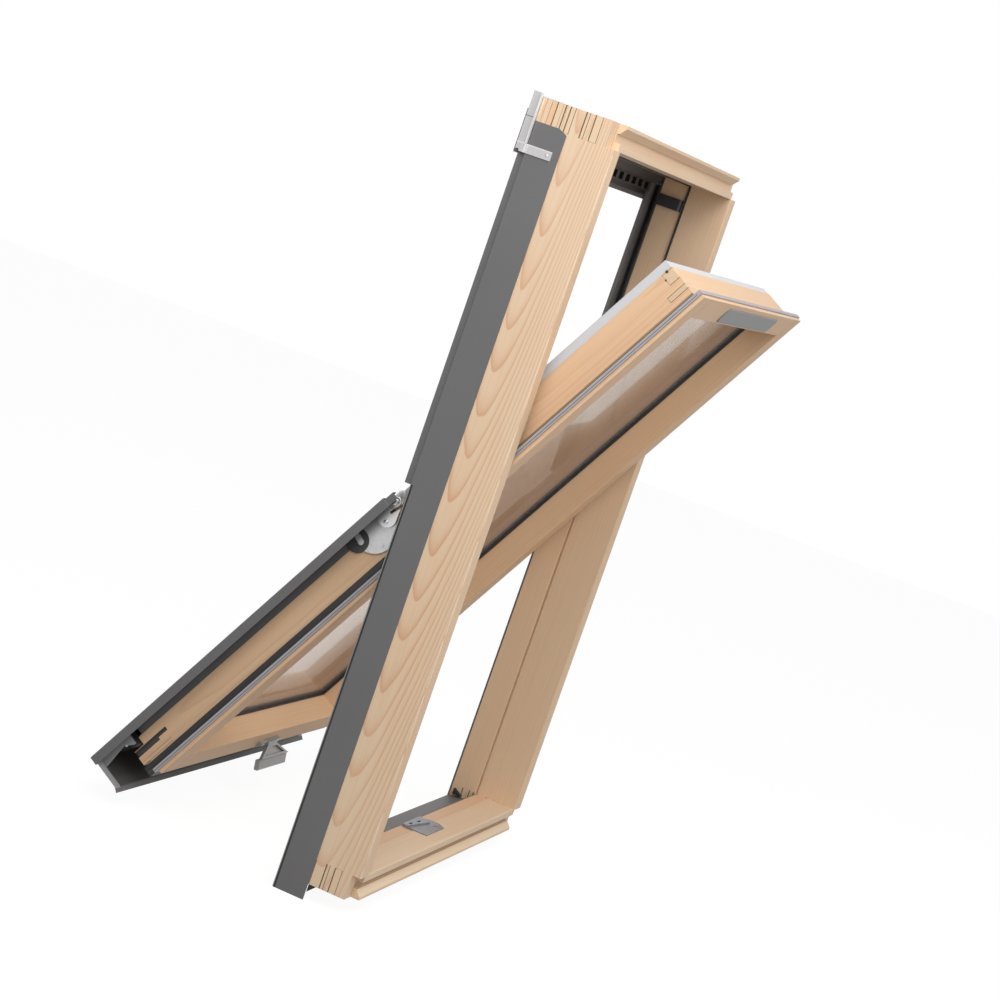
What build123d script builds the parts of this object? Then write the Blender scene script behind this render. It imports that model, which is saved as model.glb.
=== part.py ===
from build123d import *
import os
from math import cos, radians, sin

os.makedirs("parts", exist_ok=True)

# Roof window with a pine frame and a pine sash that pivots near mid height.
# X runs to the right as seen from the room, Y runs outward, Z runs up the slope.
# The origin is the middle of the sill's flat underside.
# Depths are measured outward from the frame's room face, sash sizes with the sash shut.

# Frame
frame_width = 780.0
frame_height = 1178.0
frame_depth = 120.0
jamb_thickness = 32.0
rail_thickness = 38.0
wood_arris = 2.5

# Room side moulding of the head and the sill, with the groove for the wall lining
moulding_depth = 14.0
moulding_inset = 25.5
bead_height = 4.5
bead_slope_depth = 8.5
bead_slope_rise = 9.5
lining_groove_depth = 12.0
lining_groove_width = 12.5
lip_setback = 2.7

# Corner comb joints of the frame, each finger as (start depth, end depth)
frame_fingers = ((30.0, 41.3), (50.0, 55.5), (72.4, 79.8), (87.2, 100.0))
glue_gap = 0.25

# Weather line of the frame
gasket_line = 74.0
gasket_groove_width = 3.4
gasket_groove_depth = 4.0
gasket_stand = 2.5
sill_step_depth = 51.7
sill_step = 1.0
sill_rebate_top = 22.0
sill_rebate_nose = 16.0

# Sheet metal
sheet = 1.2
bend = 1.5

# How far a cutting shape runs past the piece it cuts
over_cut = 5.0

# Jamb cladding
cladding_edge = 73.0
cladding_below = 24.8
cladding_top_drop = 34.5
cladding_corner_depth = 13.5
cladding_corner_drop = 6.5
cladding_rise = 4.0
cladding_cover = 30.0

# Covers that hide the joint between frame and sash, the toe of each lower one slipping under the upper one
cover_face = 135.0
cover_lap = 19.0
cover_lip = 6.0
upper_cover_inset = 4.0
upper_cover_drop = 28.1
upper_cover_notch = 16.0
upper_cover_notch_lap = 3.0
lower_cover_inset = 15.0
lower_cover_bottom = -18.0
lower_cover_drop = 36.1
lower_cover_edge = 120.5
cover_toe_rise = 17.0
cover_toe_lap = 4.0
cover_toe_step = 3.0
cover_toe_width = 14.0

# Hood over the head
hood_face = 142.0
hood_bottom_drop = 85.0
hood_top_drop = 21.0
hood_hem = 7.0
hood_hem_depth = 6.0
head_sheet_start = 95.0
head_sheet_face = 138.0
head_sheet_drop = 30.0

# Vent strip under the hood
vent_face = 134.0
vent_bar_bottom_drop = 53.0
vent_bar_top_drop = 26.0
grille_bottom_drop = 70.0
grille_pitch = 40.0
grille_tooth = 17.0
grille_inset = 54.0
grille_rail = 2.5
grille_depth = 8.0
panel_thickness = 2.0

# Head brackets at the top of each jamb, a long leaf in two lengths with a screwed tab over its foot
bracket_front = 124.0
bracket_back = 138.5
bracket_bottom_drop = 79.0
bracket_top_rise = 5.0
bracket_seam_drop = 31.0
bracket_seam = 0.8
bracket_thickness = 2.0
bracket_tab_start = 84.0
bracket_tab_height = 13.0
bracket_tab_foot = 3.0
bracket_tab_end = 132.0
bracket_hole_inset = 6.7
bracket_hole_radius = 2.0
bracket_return = 7.0

# Stop tabs on the inner faces of the jambs
stop_tab_start = 77.0
stop_tab_end = 118.5
stop_tab_drop = 85.5
stop_tab_height = 20.0
stop_tab_thickness = 8.0
stop_tab_round = 6.0

# Foam seals at the foot of the frame
foam_start = 97.0
foam_end = 113.0
foam_height = 10.0
foam_width = 9.0
foot_foam_drop = 12.0
foot_foam_depth = 11.0

# Striker plate on the sill
striker_centre = 18.0
striker_width = 96.0
striker_start = 27.0
striker_end = 71.0
striker_thickness = 1.6
striker_rise = 2.6
striker_corner = 13.0
striker_fold_start = 13.0
striker_fold_end = 24.0
striker_slot_length = 13.0
striker_slot_width = 3.6
striker_slots = ((-29.0, 15.0), (2.0, 12.0), (19.0, -11.0))

# Sash
opening_angle = 30.0
pivot_depth = 198.4
pivot_height = 627.1
sash_face = 50.0
sash_side_gap = 7.5
sash_end_gap = 9.5
stile_width = 47.8
sash_rail_width = 39.8
board_thickness = 6.5
body_inset = 13.5
body_end_inset = 10.0
body_back = 117.6
body_foot = 27.0
body_foot_start = 79.0
ridge_start = 66.0
ridge_width = 4.0
ridge_stand = 5.5
sash_fingers = ((79.0, 86.8, 33.0), (98.2, 116.0, 18.5))

# Side bolt recess in the foot of each stile
bolt_recess_start = 93.0
bolt_recess_end = 103.0
bolt_recess_top = 73.0
bolt_neck_start = 97.0
bolt_neck_top = 92.0
bolt_recess_depth = 10.0
stile_foot_cut = 47.0
stile_foot_cut_start = 103.8

# Glass
glass_bed = 93.0
glass_bite = 15.8
glass_clearance = 2.0
glazing_gasket_thickness = 5.0
glazing_gasket_lip = 3.0
pane_thickness = 4.0
cavity = 16.0
spacer_width = 11.0
spacer_inset = 2.0

# Sash gasket
sash_gasket_lap = 3.5
sash_gasket_thickness = 6.5
sash_gasket_end = 2.0
sash_gasket_foot = 32.0

# Sash cladding
sash_cladding_face = 130.8
sash_cladding_inset = 1.0
sash_cladding_drop = 42.1
sash_cladding_width = 30.0
sash_cladding_toe = 6.0

# Cover along the foot of the sash, with an end plate between the jambs that is drawn as depth and height
foot_cover_inset = 20.0
foot_cover_top = 60.0
foot_cover_bottom = -17.0
foot_cover_start = 77.0
foot_cover_lip = 8.0
foot_cover_lip_drop = 4.0
end_plate_inset = 4.0
end_plate_front = ((109.0, 47.0), (109.0, 43.0), (118.0, 28.0), (112.0, -12.0))

# Corner caps
cap_bottom = 30.0
cap_start = 111.0
cap_end = 130.5

# Handle
handle_centre = 35.0
handle_base_width = 70.0
handle_base_bottom = 46.0
handle_base_top = 69.0
handle_base_thickness = 6.0
handle_base_corner = 7.0
barrel_width = 34.0
barrel_radius = 5.0
barrel_stand = 2.0
barrel_height = 62.0
handle_reach = 21.0
handle_tilt = 28.0
handle_plate_thickness = 6.0
handle_wall = 4.0
handle_pocket_depth = 4.0
handle_bar_width = 113.0
handle_bar_height = 18.0
handle_bar_thickness = 8.0
handle_bar_tilt = 38.0
handle_bar_round = 2.5

# Blank plate on the top rail
blank_centre = 15.0
blank_width = 350.0
blank_drop = 37.0
blank_height = 29.0
blank_thickness = 2.0
blank_corner = 6.0

# Hinges, each place as depth and drop below the pivot, those of the sash with the sash shut
hinge_plate_thickness = 2.5
hinge_plate_centre = (116.3, 85.1)
hinge_plate_radius = 36.0
hinge_plate_limit = 128.0
hinge_disc_thickness = 1.5
spring_pocket_place = (120.5, 116.6)
spring_pocket_radius = 19.0
spring_block_places = ((124.0, 111.0), (114.5, 112.5))
spring_block_radius = 4.5
spring_block_thickness = 5.0
lobe_place = (154.8, 91.1)
lobe_radius = 14.3
hinge_pin_place = (154.5, 97.6)
hinge_pin_radius = 4.0
arm_pin_place = (149.2, 64.1)
arm_pin_radius = 8.0
arm_tip_place = (144.5, 51.6)
arm_tip_radius = 6.0
arm_thickness = 3.0
arm_gap = 4.0
hook_slot_places = ((151.0, 81.6), (136.0, 63.5))
hook_slot_width = 4.5
hinge_bracket_thickness = 2.5
hinge_bracket_places = ((84.0, 67.1), (84.0, -12.9))
rivet_radius = 3.0
rivet_stand = 1.2
rivets = ((104.8, 93.0), (90.4, 91.7))

# Places that follow from the sizes
half_width = frame_width / 2
inner_half = half_width - jamb_thickness
moulding_half = half_width - moulding_inset
sill_top = rail_thickness
head_bottom = frame_height - rail_thickness
cladding_top = frame_height - cladding_top_drop
hood_bottom = frame_height - hood_bottom_drop
hood_top = frame_height - hood_top_drop
vent_bar_bottom = frame_height - vent_bar_bottom_drop
vent_bar_top = frame_height - vent_bar_top_drop
grille_bottom = frame_height - grille_bottom_drop
grille_half = inner_half - grille_inset
bracket_bottom = frame_height - bracket_bottom_drop
bracket_top = frame_height + bracket_top_rise
bracket_seam_height = frame_height - bracket_seam_drop
stop_tab_bottom = frame_height - stop_tab_drop
board_half = inner_half - sash_side_gap
board_bottom = sill_top + sash_end_gap
board_top = head_bottom - sash_end_gap
body_half = board_half - body_inset
body_top = board_top - body_end_inset
blank_bottom = board_top - blank_drop
cover_inner = body_half - cover_lap
upper_cover_bottom = pivot_height - upper_cover_drop
upper_cover_notch_half = body_half + upper_cover_notch_lap
lower_cover_half = half_width - lower_cover_inset
lower_cover_top = pivot_height - lower_cover_drop
sash_cladding_split = pivot_height - sash_cladding_drop
sash_gasket_half = board_half + sash_gasket_lap
foot_cover_half = half_width - foot_cover_inset
sight_half = board_half - stile_width
sight_bottom = board_bottom + sash_rail_width
sight_top = board_top - sash_rail_width
board_back = sash_face + board_thickness
glass_half = sight_half + glass_bite - glass_clearance
glass_bottom = sight_bottom - glass_bite + glass_clearance
glass_top = sight_top + glass_bite - glass_clearance
glass_start = glass_bed + glazing_gasket_thickness
glass_back = glass_start + pane_thickness * 2 + cavity
sash_cladding_half = body_half - sash_cladding_inset
cladding_face = frame_depth + cladding_rise
foot_cover_face = sash_cladding_face + sheet


def out(depth):
    """Y of a point this far outward from the frame's room face."""
    return depth - frame_depth / 2


def side_on(x):
    """Plane across the window at x, with depth along its X and height along its Y."""
    return Plane(origin=(x, -frame_depth / 2, 0), x_dir=(0, 1, 0), z_dir=(1, 0, 0))


pivot_axis = Axis((0, out(pivot_depth), pivot_height), (1, 0, 0))


def keep(piece, label):
    """Label a finished piece of the frame and write its file."""
    piece.part.label = label
    export_step(piece.part, f"parts/{label}.step")


def keep_swung(piece, label):
    """Turn a finished piece of the sash to the opening angle, label it and write its file."""
    swung = piece.part.rotate(pivot_axis, opening_angle)
    swung.label = label
    export_step(swung, f"parts/{label}.step")


def keep_pair(piece, label, write=keep):
    """Write a right hand piece and its mirror image for the left side."""
    with BuildPart() as mirrored:
        mirror(piece.part, about=Plane.YZ)
    write(piece, f"right_{label}")
    write(mirrored, f"left_{label}")


def bent_sheet(*points):
    """Draw a bent sheet in the open sketch, its skin along the points and its metal to their right."""
    with BuildLine() as skin:
        FilletPolyline(*points, radius=bend)
        offset(amount=sheet, side=Side.RIGHT)
    make_face(skin.edges())


def ring(outer, inner):
    """Draw a ring in the open sketch between two boxes, each a half width, a bottom and a top."""
    for (half, bottom, top), mode in ((outer, Mode.ADD), (inner, Mode.SUBTRACT)):
        with Locations((0, (bottom + top) / 2)):
            Rectangle(2 * half, top - bottom, mode=mode)


def facing_room(depth):
    """Plane at this depth, with X to the right, Z up and its normal towards the room."""
    return Plane.XZ.offset(-out(depth))


def below_pivot(*places):
    """Turn depths and drops below the pivot into depths and heights."""
    return [(depth, pivot_height - drop) for depth, drop in places]


# Jambs
with BuildPart() as jamb:
    with BuildSketch():
        with Locations((half_width - jamb_thickness / 2, 0)):
            Rectangle(jamb_thickness, frame_depth)
        with Locations((inner_half, out(gasket_line))):
            Rectangle(2 * gasket_groove_depth, gasket_groove_width, mode=Mode.SUBTRACT)
    extrude(amount=frame_height)
    fillet(jamb.edges().filter_by(Axis.Z).group_by(Axis.Y)[0], radius=wood_arris)
    for base in (0, head_bottom - glue_gap):
        with BuildSketch(Plane.XY.offset(base)):
            for start, end in frame_fingers:
                with Locations((half_width - jamb_thickness / 2, out((start + end) / 2))):
                    Rectangle(jamb_thickness + 2 * over_cut, end - start + 2 * glue_gap)
        extrude(amount=rail_thickness + glue_gap, mode=Mode.SUBTRACT)
    for base in (0, head_bottom):
        with BuildSketch(Plane.XY.offset(base)):
            with Locations((half_width - jamb_thickness / 2, out(moulding_depth / 2))):
                Rectangle(jamb_thickness + 2 * over_cut, moulding_depth)
        extrude(amount=rail_thickness, mode=Mode.SUBTRACT)
keep_pair(jamb, "jamb")


def moulding(direction):
    """Room side moulding as (depth, height) points, for a rail whose outer edge is at zero."""
    groove_start = bead_height + bead_slope_rise
    groove_end = groove_start + lining_groove_width
    outline = (
        (0, 0),
        (0, bead_height),
        (bead_slope_depth, groove_start),
        (lining_groove_depth, groove_start),
        (lining_groove_depth, groove_end),
        (lip_setback, groove_end),
        (lip_setback, rail_thickness),
        (moulding_depth, rail_thickness),
        (moulding_depth, 0),
    )
    return [(depth, direction * height) for depth, height in outline]


def comb():
    """Draw, in the open sketch, the fingers that pass through both jambs."""
    for side in (-1, 1):
        for start, end in frame_fingers:
            with Locations((side * (half_width - jamb_thickness / 2), out((start + end) / 2))):
                Rectangle(jamb_thickness, end - start)


# Sill
with BuildPart() as sill:
    with BuildSketch(side_on(0)):
        with BuildLine():
            Polyline(*moulding(1), close=True)
        make_face()
    extrude(amount=moulding_half, both=True)
    with BuildSketch(side_on(0)):
        with BuildLine():
            Polyline(
                (moulding_depth, 0),
                (moulding_depth, sill_top),
                (sill_step_depth, sill_top),
                (sill_step_depth, sill_top - sill_step),
                (gasket_line, sill_top - sill_step),
                (gasket_line, sill_rebate_top),
                (frame_depth, sill_rebate_nose),
                (frame_depth, 0),
                close=True,
            )
        make_face()
    extrude(amount=inner_half, both=True)
    with BuildSketch():
        comb()
    extrude(amount=rail_thickness)
keep(sill, "sill")

# Head
with BuildPart() as head:
    with BuildSketch(side_on(0)):
        with BuildLine():
            Polyline(*[(depth, frame_height + drop) for depth, drop in moulding(-1)], close=True)
        make_face()
    extrude(amount=moulding_half, both=True)
    with BuildSketch(side_on(0)):
        with BuildLine():
            Polyline(
                (moulding_depth, head_bottom),
                (frame_depth, head_bottom),
                (frame_depth, frame_height),
                (moulding_depth, frame_height),
                close=True,
            )
        make_face()
        with Locations((gasket_line, head_bottom)):
            Rectangle(gasket_groove_width, 2 * gasket_groove_depth, mode=Mode.SUBTRACT)
    extrude(amount=inner_half, both=True)
    with BuildSketch(Plane.XY.offset(head_bottom)):
        comb()
    extrude(amount=rail_thickness)
keep(head, "head")

# Frame gasket, round the upper part of the opening
gasket_bottom = pivot_height
with BuildPart() as frame_gasket:
    with BuildSketch(Plane.XY.offset(gasket_bottom)):
        for side in (-1, 1):
            gasket_middle = side * (inner_half + (gasket_groove_depth - gasket_stand) / 2)
            with Locations((gasket_middle, out(gasket_line))):
                Rectangle(gasket_groove_depth + gasket_stand, gasket_groove_width)
    extrude(amount=head_bottom - gasket_stand - gasket_bottom)
    with BuildSketch(side_on(0)):
        with Locations((gasket_line, head_bottom + (gasket_groove_depth - gasket_stand) / 2)):
            Rectangle(gasket_groove_width, gasket_groove_depth + gasket_stand)
    extrude(amount=inner_half, both=True)
keep(frame_gasket, "frame_gasket")

# Jamb cladding
with BuildPart() as jamb_cladding:
    skin = half_width + sheet
    with BuildSketch(Plane.XY.offset(-cladding_below)):
        bent_sheet(
            (half_width - cladding_cover, out(frame_depth)),
            (half_width - cladding_cover, out(cladding_face)),
            (skin, out(cladding_face)),
            (skin, out(cladding_edge)),
        )
    extrude(amount=cladding_top + cladding_below)
    with BuildSketch(side_on(half_width)):
        with BuildLine():
            Polyline(
                (cladding_edge, cladding_top),
                (cladding_edge, cladding_top - cladding_corner_drop),
                (cladding_edge + cladding_corner_depth, cladding_top),
                close=True,
            )
        make_face()
    extrude(amount=over_cut, mode=Mode.SUBTRACT)
keep_pair(jamb_cladding, "jamb_cladding")

# Sill cladding
sill_skin = sheet + glue_gap
with BuildPart() as sill_cladding:
    with BuildSketch(side_on(-inner_half + glue_gap)):
        bent_sheet(
            (gasket_line + sill_skin, sill_top - sill_step),
            (gasket_line + sill_skin, sill_rebate_top + sill_skin),
            (frame_depth + sill_skin, sill_rebate_nose + sill_skin),
            (frame_depth + sill_skin, -cladding_rise),
        )
    extrude(amount=2 * (inner_half - glue_gap))
keep(sill_cladding, "sill_cladding")

# Head cladding, which laps over the head and turns down behind the hood
with BuildPart() as head_cladding:
    with BuildSketch(side_on(-half_width)):
        bent_sheet(
            (head_sheet_start, frame_height + sheet),
            (head_sheet_face, frame_height + sheet),
            (head_sheet_face, frame_height - head_sheet_drop),
        )
    extrude(amount=frame_width)
keep(head_cladding, "head_cladding")

# Upper side covers, fixed to the frame
with BuildPart() as upper_cover:
    cover_half = half_width - upper_cover_inset
    with BuildSketch(Plane.XY.offset(upper_cover_bottom)):
        bent_sheet(
            (cover_inner, out(cover_face - cover_lip)),
            (cover_inner, out(cover_face)),
            (cover_half, out(cover_face)),
            (cover_half, out(cladding_face)),
        )
    extrude(amount=vent_bar_bottom - upper_cover_bottom)
    with BuildSketch(Plane.XY.offset(upper_cover_bottom)):
        with Locations(((cover_inner + upper_cover_notch_half) / 2, out(cover_face))):
            Rectangle(upper_cover_notch_half - cover_inner, 2 * cover_lip + 2 * over_cut)
    extrude(amount=upper_cover_notch, mode=Mode.SUBTRACT)
keep_pair(upper_cover, "upper_cover")

# Hood
with BuildPart() as hood:
    with BuildSketch(side_on(-half_width + upper_cover_inset)):
        bent_sheet(
            (head_sheet_face, hood_top),
            (hood_face, hood_top),
            (hood_face, hood_bottom),
            (hood_face - hood_hem_depth, hood_bottom),
            (hood_face - hood_hem_depth, hood_bottom + hood_hem),
        )
    extrude(amount=2 * (half_width - upper_cover_inset))
    for side in (-1, 1):
        with BuildSketch(side_on(side * (half_width - upper_cover_inset - sheet / 2))):
            with BuildLine():
                Polyline(
                    (cover_face + sheet / 2, hood_bottom),
                    (hood_face, hood_bottom),
                    (hood_face, hood_top),
                    (head_sheet_face, hood_top),
                    (head_sheet_face, vent_bar_bottom),
                    (cover_face + sheet / 2, vent_bar_bottom),
                    close=True,
                )
            make_face()
        extrude(amount=sheet / 2, both=True)
keep(hood, "hood")

# Vent bar, the closed profile that carries the grille and the hood
with BuildPart() as vent_bar:
    with BuildSketch(side_on(0)) as vent_bar_section:
        with BuildLine():
            Polyline(
                (frame_depth, head_bottom),
                (frame_depth, vent_bar_top),
                (vent_face, vent_bar_top),
                (vent_face, vent_bar_bottom),
                (vent_face - grille_depth, vent_bar_bottom),
                close=True,
            )
        make_face()
        fillet(vent_bar_section.vertices().group_by(Axis.Y)[0].sort_by(Axis.X)[:1], radius=wood_arris)
    extrude(amount=inner_half, both=True)
keep(vent_bar, "vent_bar")

# Vent grille, a comb of teeth between two rails, with its back panel
with BuildPart() as vent_grille:
    with BuildSketch(facing_room(vent_face)):
        with Locations((0, (grille_bottom + vent_bar_bottom) / 2)):
            Rectangle(2 * grille_half, vent_bar_bottom - grille_bottom)
        with GridLocations(grille_pitch, 0, int(2 * grille_half // grille_pitch), 1):
            with Locations((0, (grille_bottom + vent_bar_bottom) / 2)):
                Rectangle(
                    grille_pitch - grille_tooth,
                    vent_bar_bottom - grille_bottom - 2 * grille_rail,
                    mode=Mode.SUBTRACT,
                )
    extrude(amount=grille_depth)
    with BuildSketch(facing_room(vent_face)):
        with Locations((0, (grille_bottom + hood_bottom + hood_hem) / 2)):
            Rectangle(2 * grille_half, grille_bottom - hood_bottom - hood_hem)
    extrude(amount=panel_thickness)
keep(vent_grille, "vent_grille")

# Head brackets, a folded leaf scored across at its seam, with a screwed tab over the jamb cladding
with BuildPart() as head_bracket:
    leaf = half_width + sheet
    tab_base = bracket_bottom - bracket_tab_foot
    with BuildSketch(side_on(leaf)):
        with Locations(((bracket_front + bracket_back) / 2, (bracket_bottom + bracket_top) / 2)):
            Rectangle(bracket_back - bracket_front, bracket_top - bracket_bottom)
    extrude(amount=bracket_thickness)
    with BuildSketch(side_on(leaf + bracket_thickness)):
        with Locations(((bracket_front + bracket_back) / 2, bracket_seam_height)):
            Rectangle(bracket_back - bracket_front + 2 * over_cut, bracket_seam)
    extrude(amount=-bracket_seam, mode=Mode.SUBTRACT)
    with BuildSketch(Plane.XY.offset(tab_base + bracket_tab_height)):
        with Locations((leaf + bracket_thickness / 2 + bracket_return / 2, out(bracket_front) + sheet / 2)):
            Rectangle(bracket_return, sheet)
    extrude(amount=bracket_top - tab_base - bracket_tab_height)
    with BuildSketch(Plane.XY.offset(tab_base)):
        with BuildLine() as tab_fold:
            Polyline(
                (leaf, out(bracket_tab_start)),
                (leaf, out(bracket_front) - bracket_thickness),
                (leaf + bracket_thickness, out(bracket_front)),
                (leaf + bracket_thickness, out(bracket_tab_end)),
            )
            offset(amount=bracket_thickness, side=Side.RIGHT)
        make_face(tab_fold.edges())
    extrude(amount=bracket_tab_height)
    with BuildSketch(side_on(leaf)):
        with Locations((bracket_tab_start + bracket_hole_inset, tab_base + bracket_tab_height / 2)):
            Circle(bracket_hole_radius)
    extrude(amount=bracket_thickness, mode=Mode.SUBTRACT)
keep_pair(head_bracket, "head_bracket")

# Stop tabs, one node with a tab on each jamb, each rounded where the sash meets it
with BuildPart() as stop_tabs:
    for side in (-1, 1):
        tab_middle = (side * (inner_half - stop_tab_thickness / 2), out((stop_tab_start + stop_tab_end) / 2))
        with BuildSketch(Plane.XY.offset(stop_tab_bottom)) as tab_section:
            with Locations(tab_middle):
                Rectangle(stop_tab_thickness, stop_tab_end - stop_tab_start)
            nose = tab_section.vertices().group_by(Axis.Y)[0].sort_by(Axis.X)
            fillet(nose[-1] if side < 0 else nose[0], radius=stop_tab_round)
        extrude(amount=stop_tab_height)
keep(stop_tabs, "stop_tabs")

# Foam seals, a wedge in each inner corner over the sill and one under each jamb, clear of the sill's fingers
foot_foam_end = frame_fingers[2][0] - glue_gap
with BuildPart() as corner_foams:
    for side in (-1, 1):
        with BuildSketch(side_on(side * (inner_half - foam_width / 2))):
            with BuildLine():
                Polyline(
                    (foam_start, sill_rebate_top + sill_skin),
                    (foam_end, sill_rebate_top + sill_skin),
                    (foam_end, sill_rebate_top + sill_skin + foam_height),
                    close=True,
                )
            make_face()
        extrude(amount=foam_width / 2, both=True)
        with BuildSketch(side_on(side * (half_width - jamb_thickness / 2))):
            with BuildLine():
                Polyline(
                    (foot_foam_end - foot_foam_depth, 0),
                    (foot_foam_end, 0),
                    (foot_foam_end, -foot_foam_drop),
                    close=True,
                )
            make_face()
        extrude(amount=jamb_thickness / 2, both=True)
keep(corner_foams, "corner_foams")

# Striker plate, stepped along a diagonal fold, with three slots
with BuildPart() as striker_plate:
    striker_floor = sill_top
    striker_middle = (striker_start + striker_end) / 2
    with BuildSketch(Plane.XY.offset(striker_floor)) as striker_outline:
        with Locations((striker_centre, out(striker_middle))):
            Rectangle(striker_width, striker_end - striker_start)
        chamfer(striker_outline.vertices().group_by(Axis.X)[-1], length=striker_corner)
    extrude(amount=striker_thickness)
    with BuildSketch(Plane.XY.offset(striker_floor + striker_thickness)):
        with BuildLine():
            Polyline(
                (striker_centre - striker_width / 2, out(striker_end)),
                (striker_centre - striker_width / 2, out(striker_middle + striker_fold_start)),
                (striker_centre + striker_fold_end, out(striker_middle)),
                (striker_centre + striker_width / 2 - striker_corner, out(striker_end)),
                close=True,
            )
        make_face()
    extrude(amount=striker_rise)
    with BuildSketch(Plane.XY.offset(striker_floor)):
        for across, outward in striker_slots:
            with Locations((striker_centre + across, out(striker_middle + outward))):
                SlotOverall(striker_slot_length, striker_slot_width)
    extrude(amount=striker_thickness + striker_rise, mode=Mode.SUBTRACT)
keep(striker_plate, "striker_plate")

# Sash stiles
rebate_half = sight_half + glass_bite
body_front_foot = board_bottom - sash_side_gap
with BuildPart() as stile:
    with BuildSketch(Plane.XY.offset(board_bottom)):
        with Locations(((sight_half + board_half) / 2, out(sash_face + board_thickness / 2))):
            Rectangle(stile_width, board_thickness)
    extrude(amount=board_top - board_bottom)
    fillet(stile.edges().filter_by(Axis.Z).group_by(Axis.Y)[0], radius=wood_arris)
    with BuildSketch(Plane.XY.offset(body_foot)):
        with BuildLine():
            Polyline(
                (sight_half, out(board_back)),
                (body_half, out(board_back)),
                (body_half, out(ridge_start)),
                (body_half + ridge_stand, out(ridge_start)),
                (body_half + ridge_stand, out(ridge_start + ridge_width)),
                (body_half, out(ridge_start + ridge_width)),
                (body_half, out(body_back)),
                (rebate_half, out(body_back)),
                (rebate_half, out(glass_bed)),
                (sight_half, out(glass_bed)),
                close=True,
            )
        make_face()
    extrude(amount=body_top - body_foot)
    with BuildSketch(side_on(sight_half - wood_arris)):
        with BuildLine():
            Polyline(
                (sash_face, body_foot),
                (body_foot_start, body_foot),
                (body_foot_start, body_front_foot),
                (board_back, body_front_foot),
                (board_back, board_bottom),
                (sash_face, board_bottom),
                close=True,
            )
        make_face()
        with Locations(((stile_foot_cut_start + body_back) / 2, (body_foot + stile_foot_cut) / 2)):
            Rectangle(body_back - stile_foot_cut_start, stile_foot_cut - body_foot)
    extrude(amount=stile_width + 2 * wood_arris, mode=Mode.SUBTRACT)
    with BuildSketch(side_on(body_half)):
        with Locations(((bolt_recess_start + bolt_recess_end) / 2, (body_foot + bolt_recess_top) / 2)):
            Rectangle(bolt_recess_end - bolt_recess_start, bolt_recess_top - body_foot)
        with Locations(((bolt_neck_start + bolt_recess_end) / 2, (body_foot + bolt_neck_top) / 2)):
            Rectangle(bolt_recess_end - bolt_neck_start, bolt_neck_top - body_foot)
    extrude(amount=-bolt_recess_depth, mode=Mode.SUBTRACT)
    for start, end, height in sash_fingers:
        with BuildSketch(Plane.XY.offset(body_top - height - glue_gap)):
            with Locations(((sight_half + body_half) / 2, out((start + end) / 2))):
                Rectangle(2 * stile_width, end - start + 2 * glue_gap)
        extrude(amount=height + 2 * glue_gap, mode=Mode.SUBTRACT)
keep_pair(stile, "stile", write=keep_swung)

# Sash top rail
with BuildPart() as top_rail:
    with BuildSketch(side_on(0)):
        with BuildLine():
            Polyline(
                (sash_face, sight_top),
                (sash_face, board_top),
                (board_back, board_top),
                (board_back, body_top),
                (ridge_start, body_top),
                (ridge_start, body_top + ridge_stand),
                (ridge_start + ridge_width, body_top + ridge_stand),
                (ridge_start + ridge_width, body_top),
                (glass_bed, body_top),
                (glass_bed, sight_top),
                close=True,
            )
        make_face()
    extrude(amount=sight_half, both=True)
    with BuildSketch(side_on(0)):
        with Locations(((glass_bed + body_back) / 2, (sight_top + glass_bite + body_top) / 2)):
            Rectangle(body_back - glass_bed, body_top - sight_top - glass_bite)
    extrude(amount=rebate_half, both=True)
    for start, end, height in sash_fingers:
        root = sight_half if end < glass_bed else rebate_half
        with BuildSketch(Plane.XY.offset(body_top - height)):
            for side in (-1, 1):
                with Locations((side * (root + body_half) / 2, out((start + end) / 2))):
                    Rectangle(body_half - root, end - start)
        extrude(amount=height)
keep_swung(top_rail, "top_rail")

# Sash bottom rail
with BuildPart() as bottom_rail:
    with BuildSketch(side_on(0)):
        with BuildLine():
            Polyline(
                (sash_face, sight_bottom),
                (sash_face, board_bottom),
                (board_back, board_bottom),
                (board_back, body_front_foot),
                (body_foot_start, body_front_foot),
                (body_foot_start, body_foot),
                (glass_bed, body_foot),
                (glass_bed, sight_bottom),
                close=True,
            )
        make_face()
    extrude(amount=sight_half, both=True)
    with BuildSketch(side_on(0)):
        with Locations(((glass_bed + body_back) / 2, (sight_bottom - glass_bite + body_foot) / 2)):
            Rectangle(body_back - glass_bed, sight_bottom - glass_bite - body_foot)
    extrude(amount=sight_half, both=True)
keep_swung(bottom_rail, "bottom_rail")

# Glazing gasket, panes and spacer
glass_box = (glass_half, glass_bottom, glass_top)
with BuildPart() as glazing_gasket:
    lip_box = (
        sight_half - glazing_gasket_lip,
        sight_bottom + glazing_gasket_lip,
        sight_top - glazing_gasket_lip,
    )
    with BuildSketch(facing_room(glass_bed)):
        ring(glass_box, lip_box)
    extrude(amount=-glazing_gasket_thickness)
keep_swung(glazing_gasket, "glazing_gasket")

for label, depth in (("inner_pane", glass_start), ("outer_pane", glass_start + pane_thickness + cavity)):
    with BuildPart() as pane:
        with BuildSketch(facing_room(depth)):
            with Locations((0, (glass_bottom + glass_top) / 2)):
                Rectangle(2 * glass_half, glass_top - glass_bottom)
        extrude(amount=-pane_thickness)
    keep_swung(pane, label)

with BuildPart() as spacer_bar:
    spacer_outer = (glass_half - spacer_inset, glass_bottom + spacer_inset, glass_top - spacer_inset)
    spacer_inner = (
        spacer_outer[0] - spacer_width,
        spacer_outer[1] + spacer_width,
        spacer_outer[2] - spacer_width,
    )
    with BuildSketch(facing_room(glass_start + pane_thickness)):
        ring(spacer_outer, spacer_inner)
    extrude(amount=-cavity)
keep_swung(spacer_bar, "spacer_bar")

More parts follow.
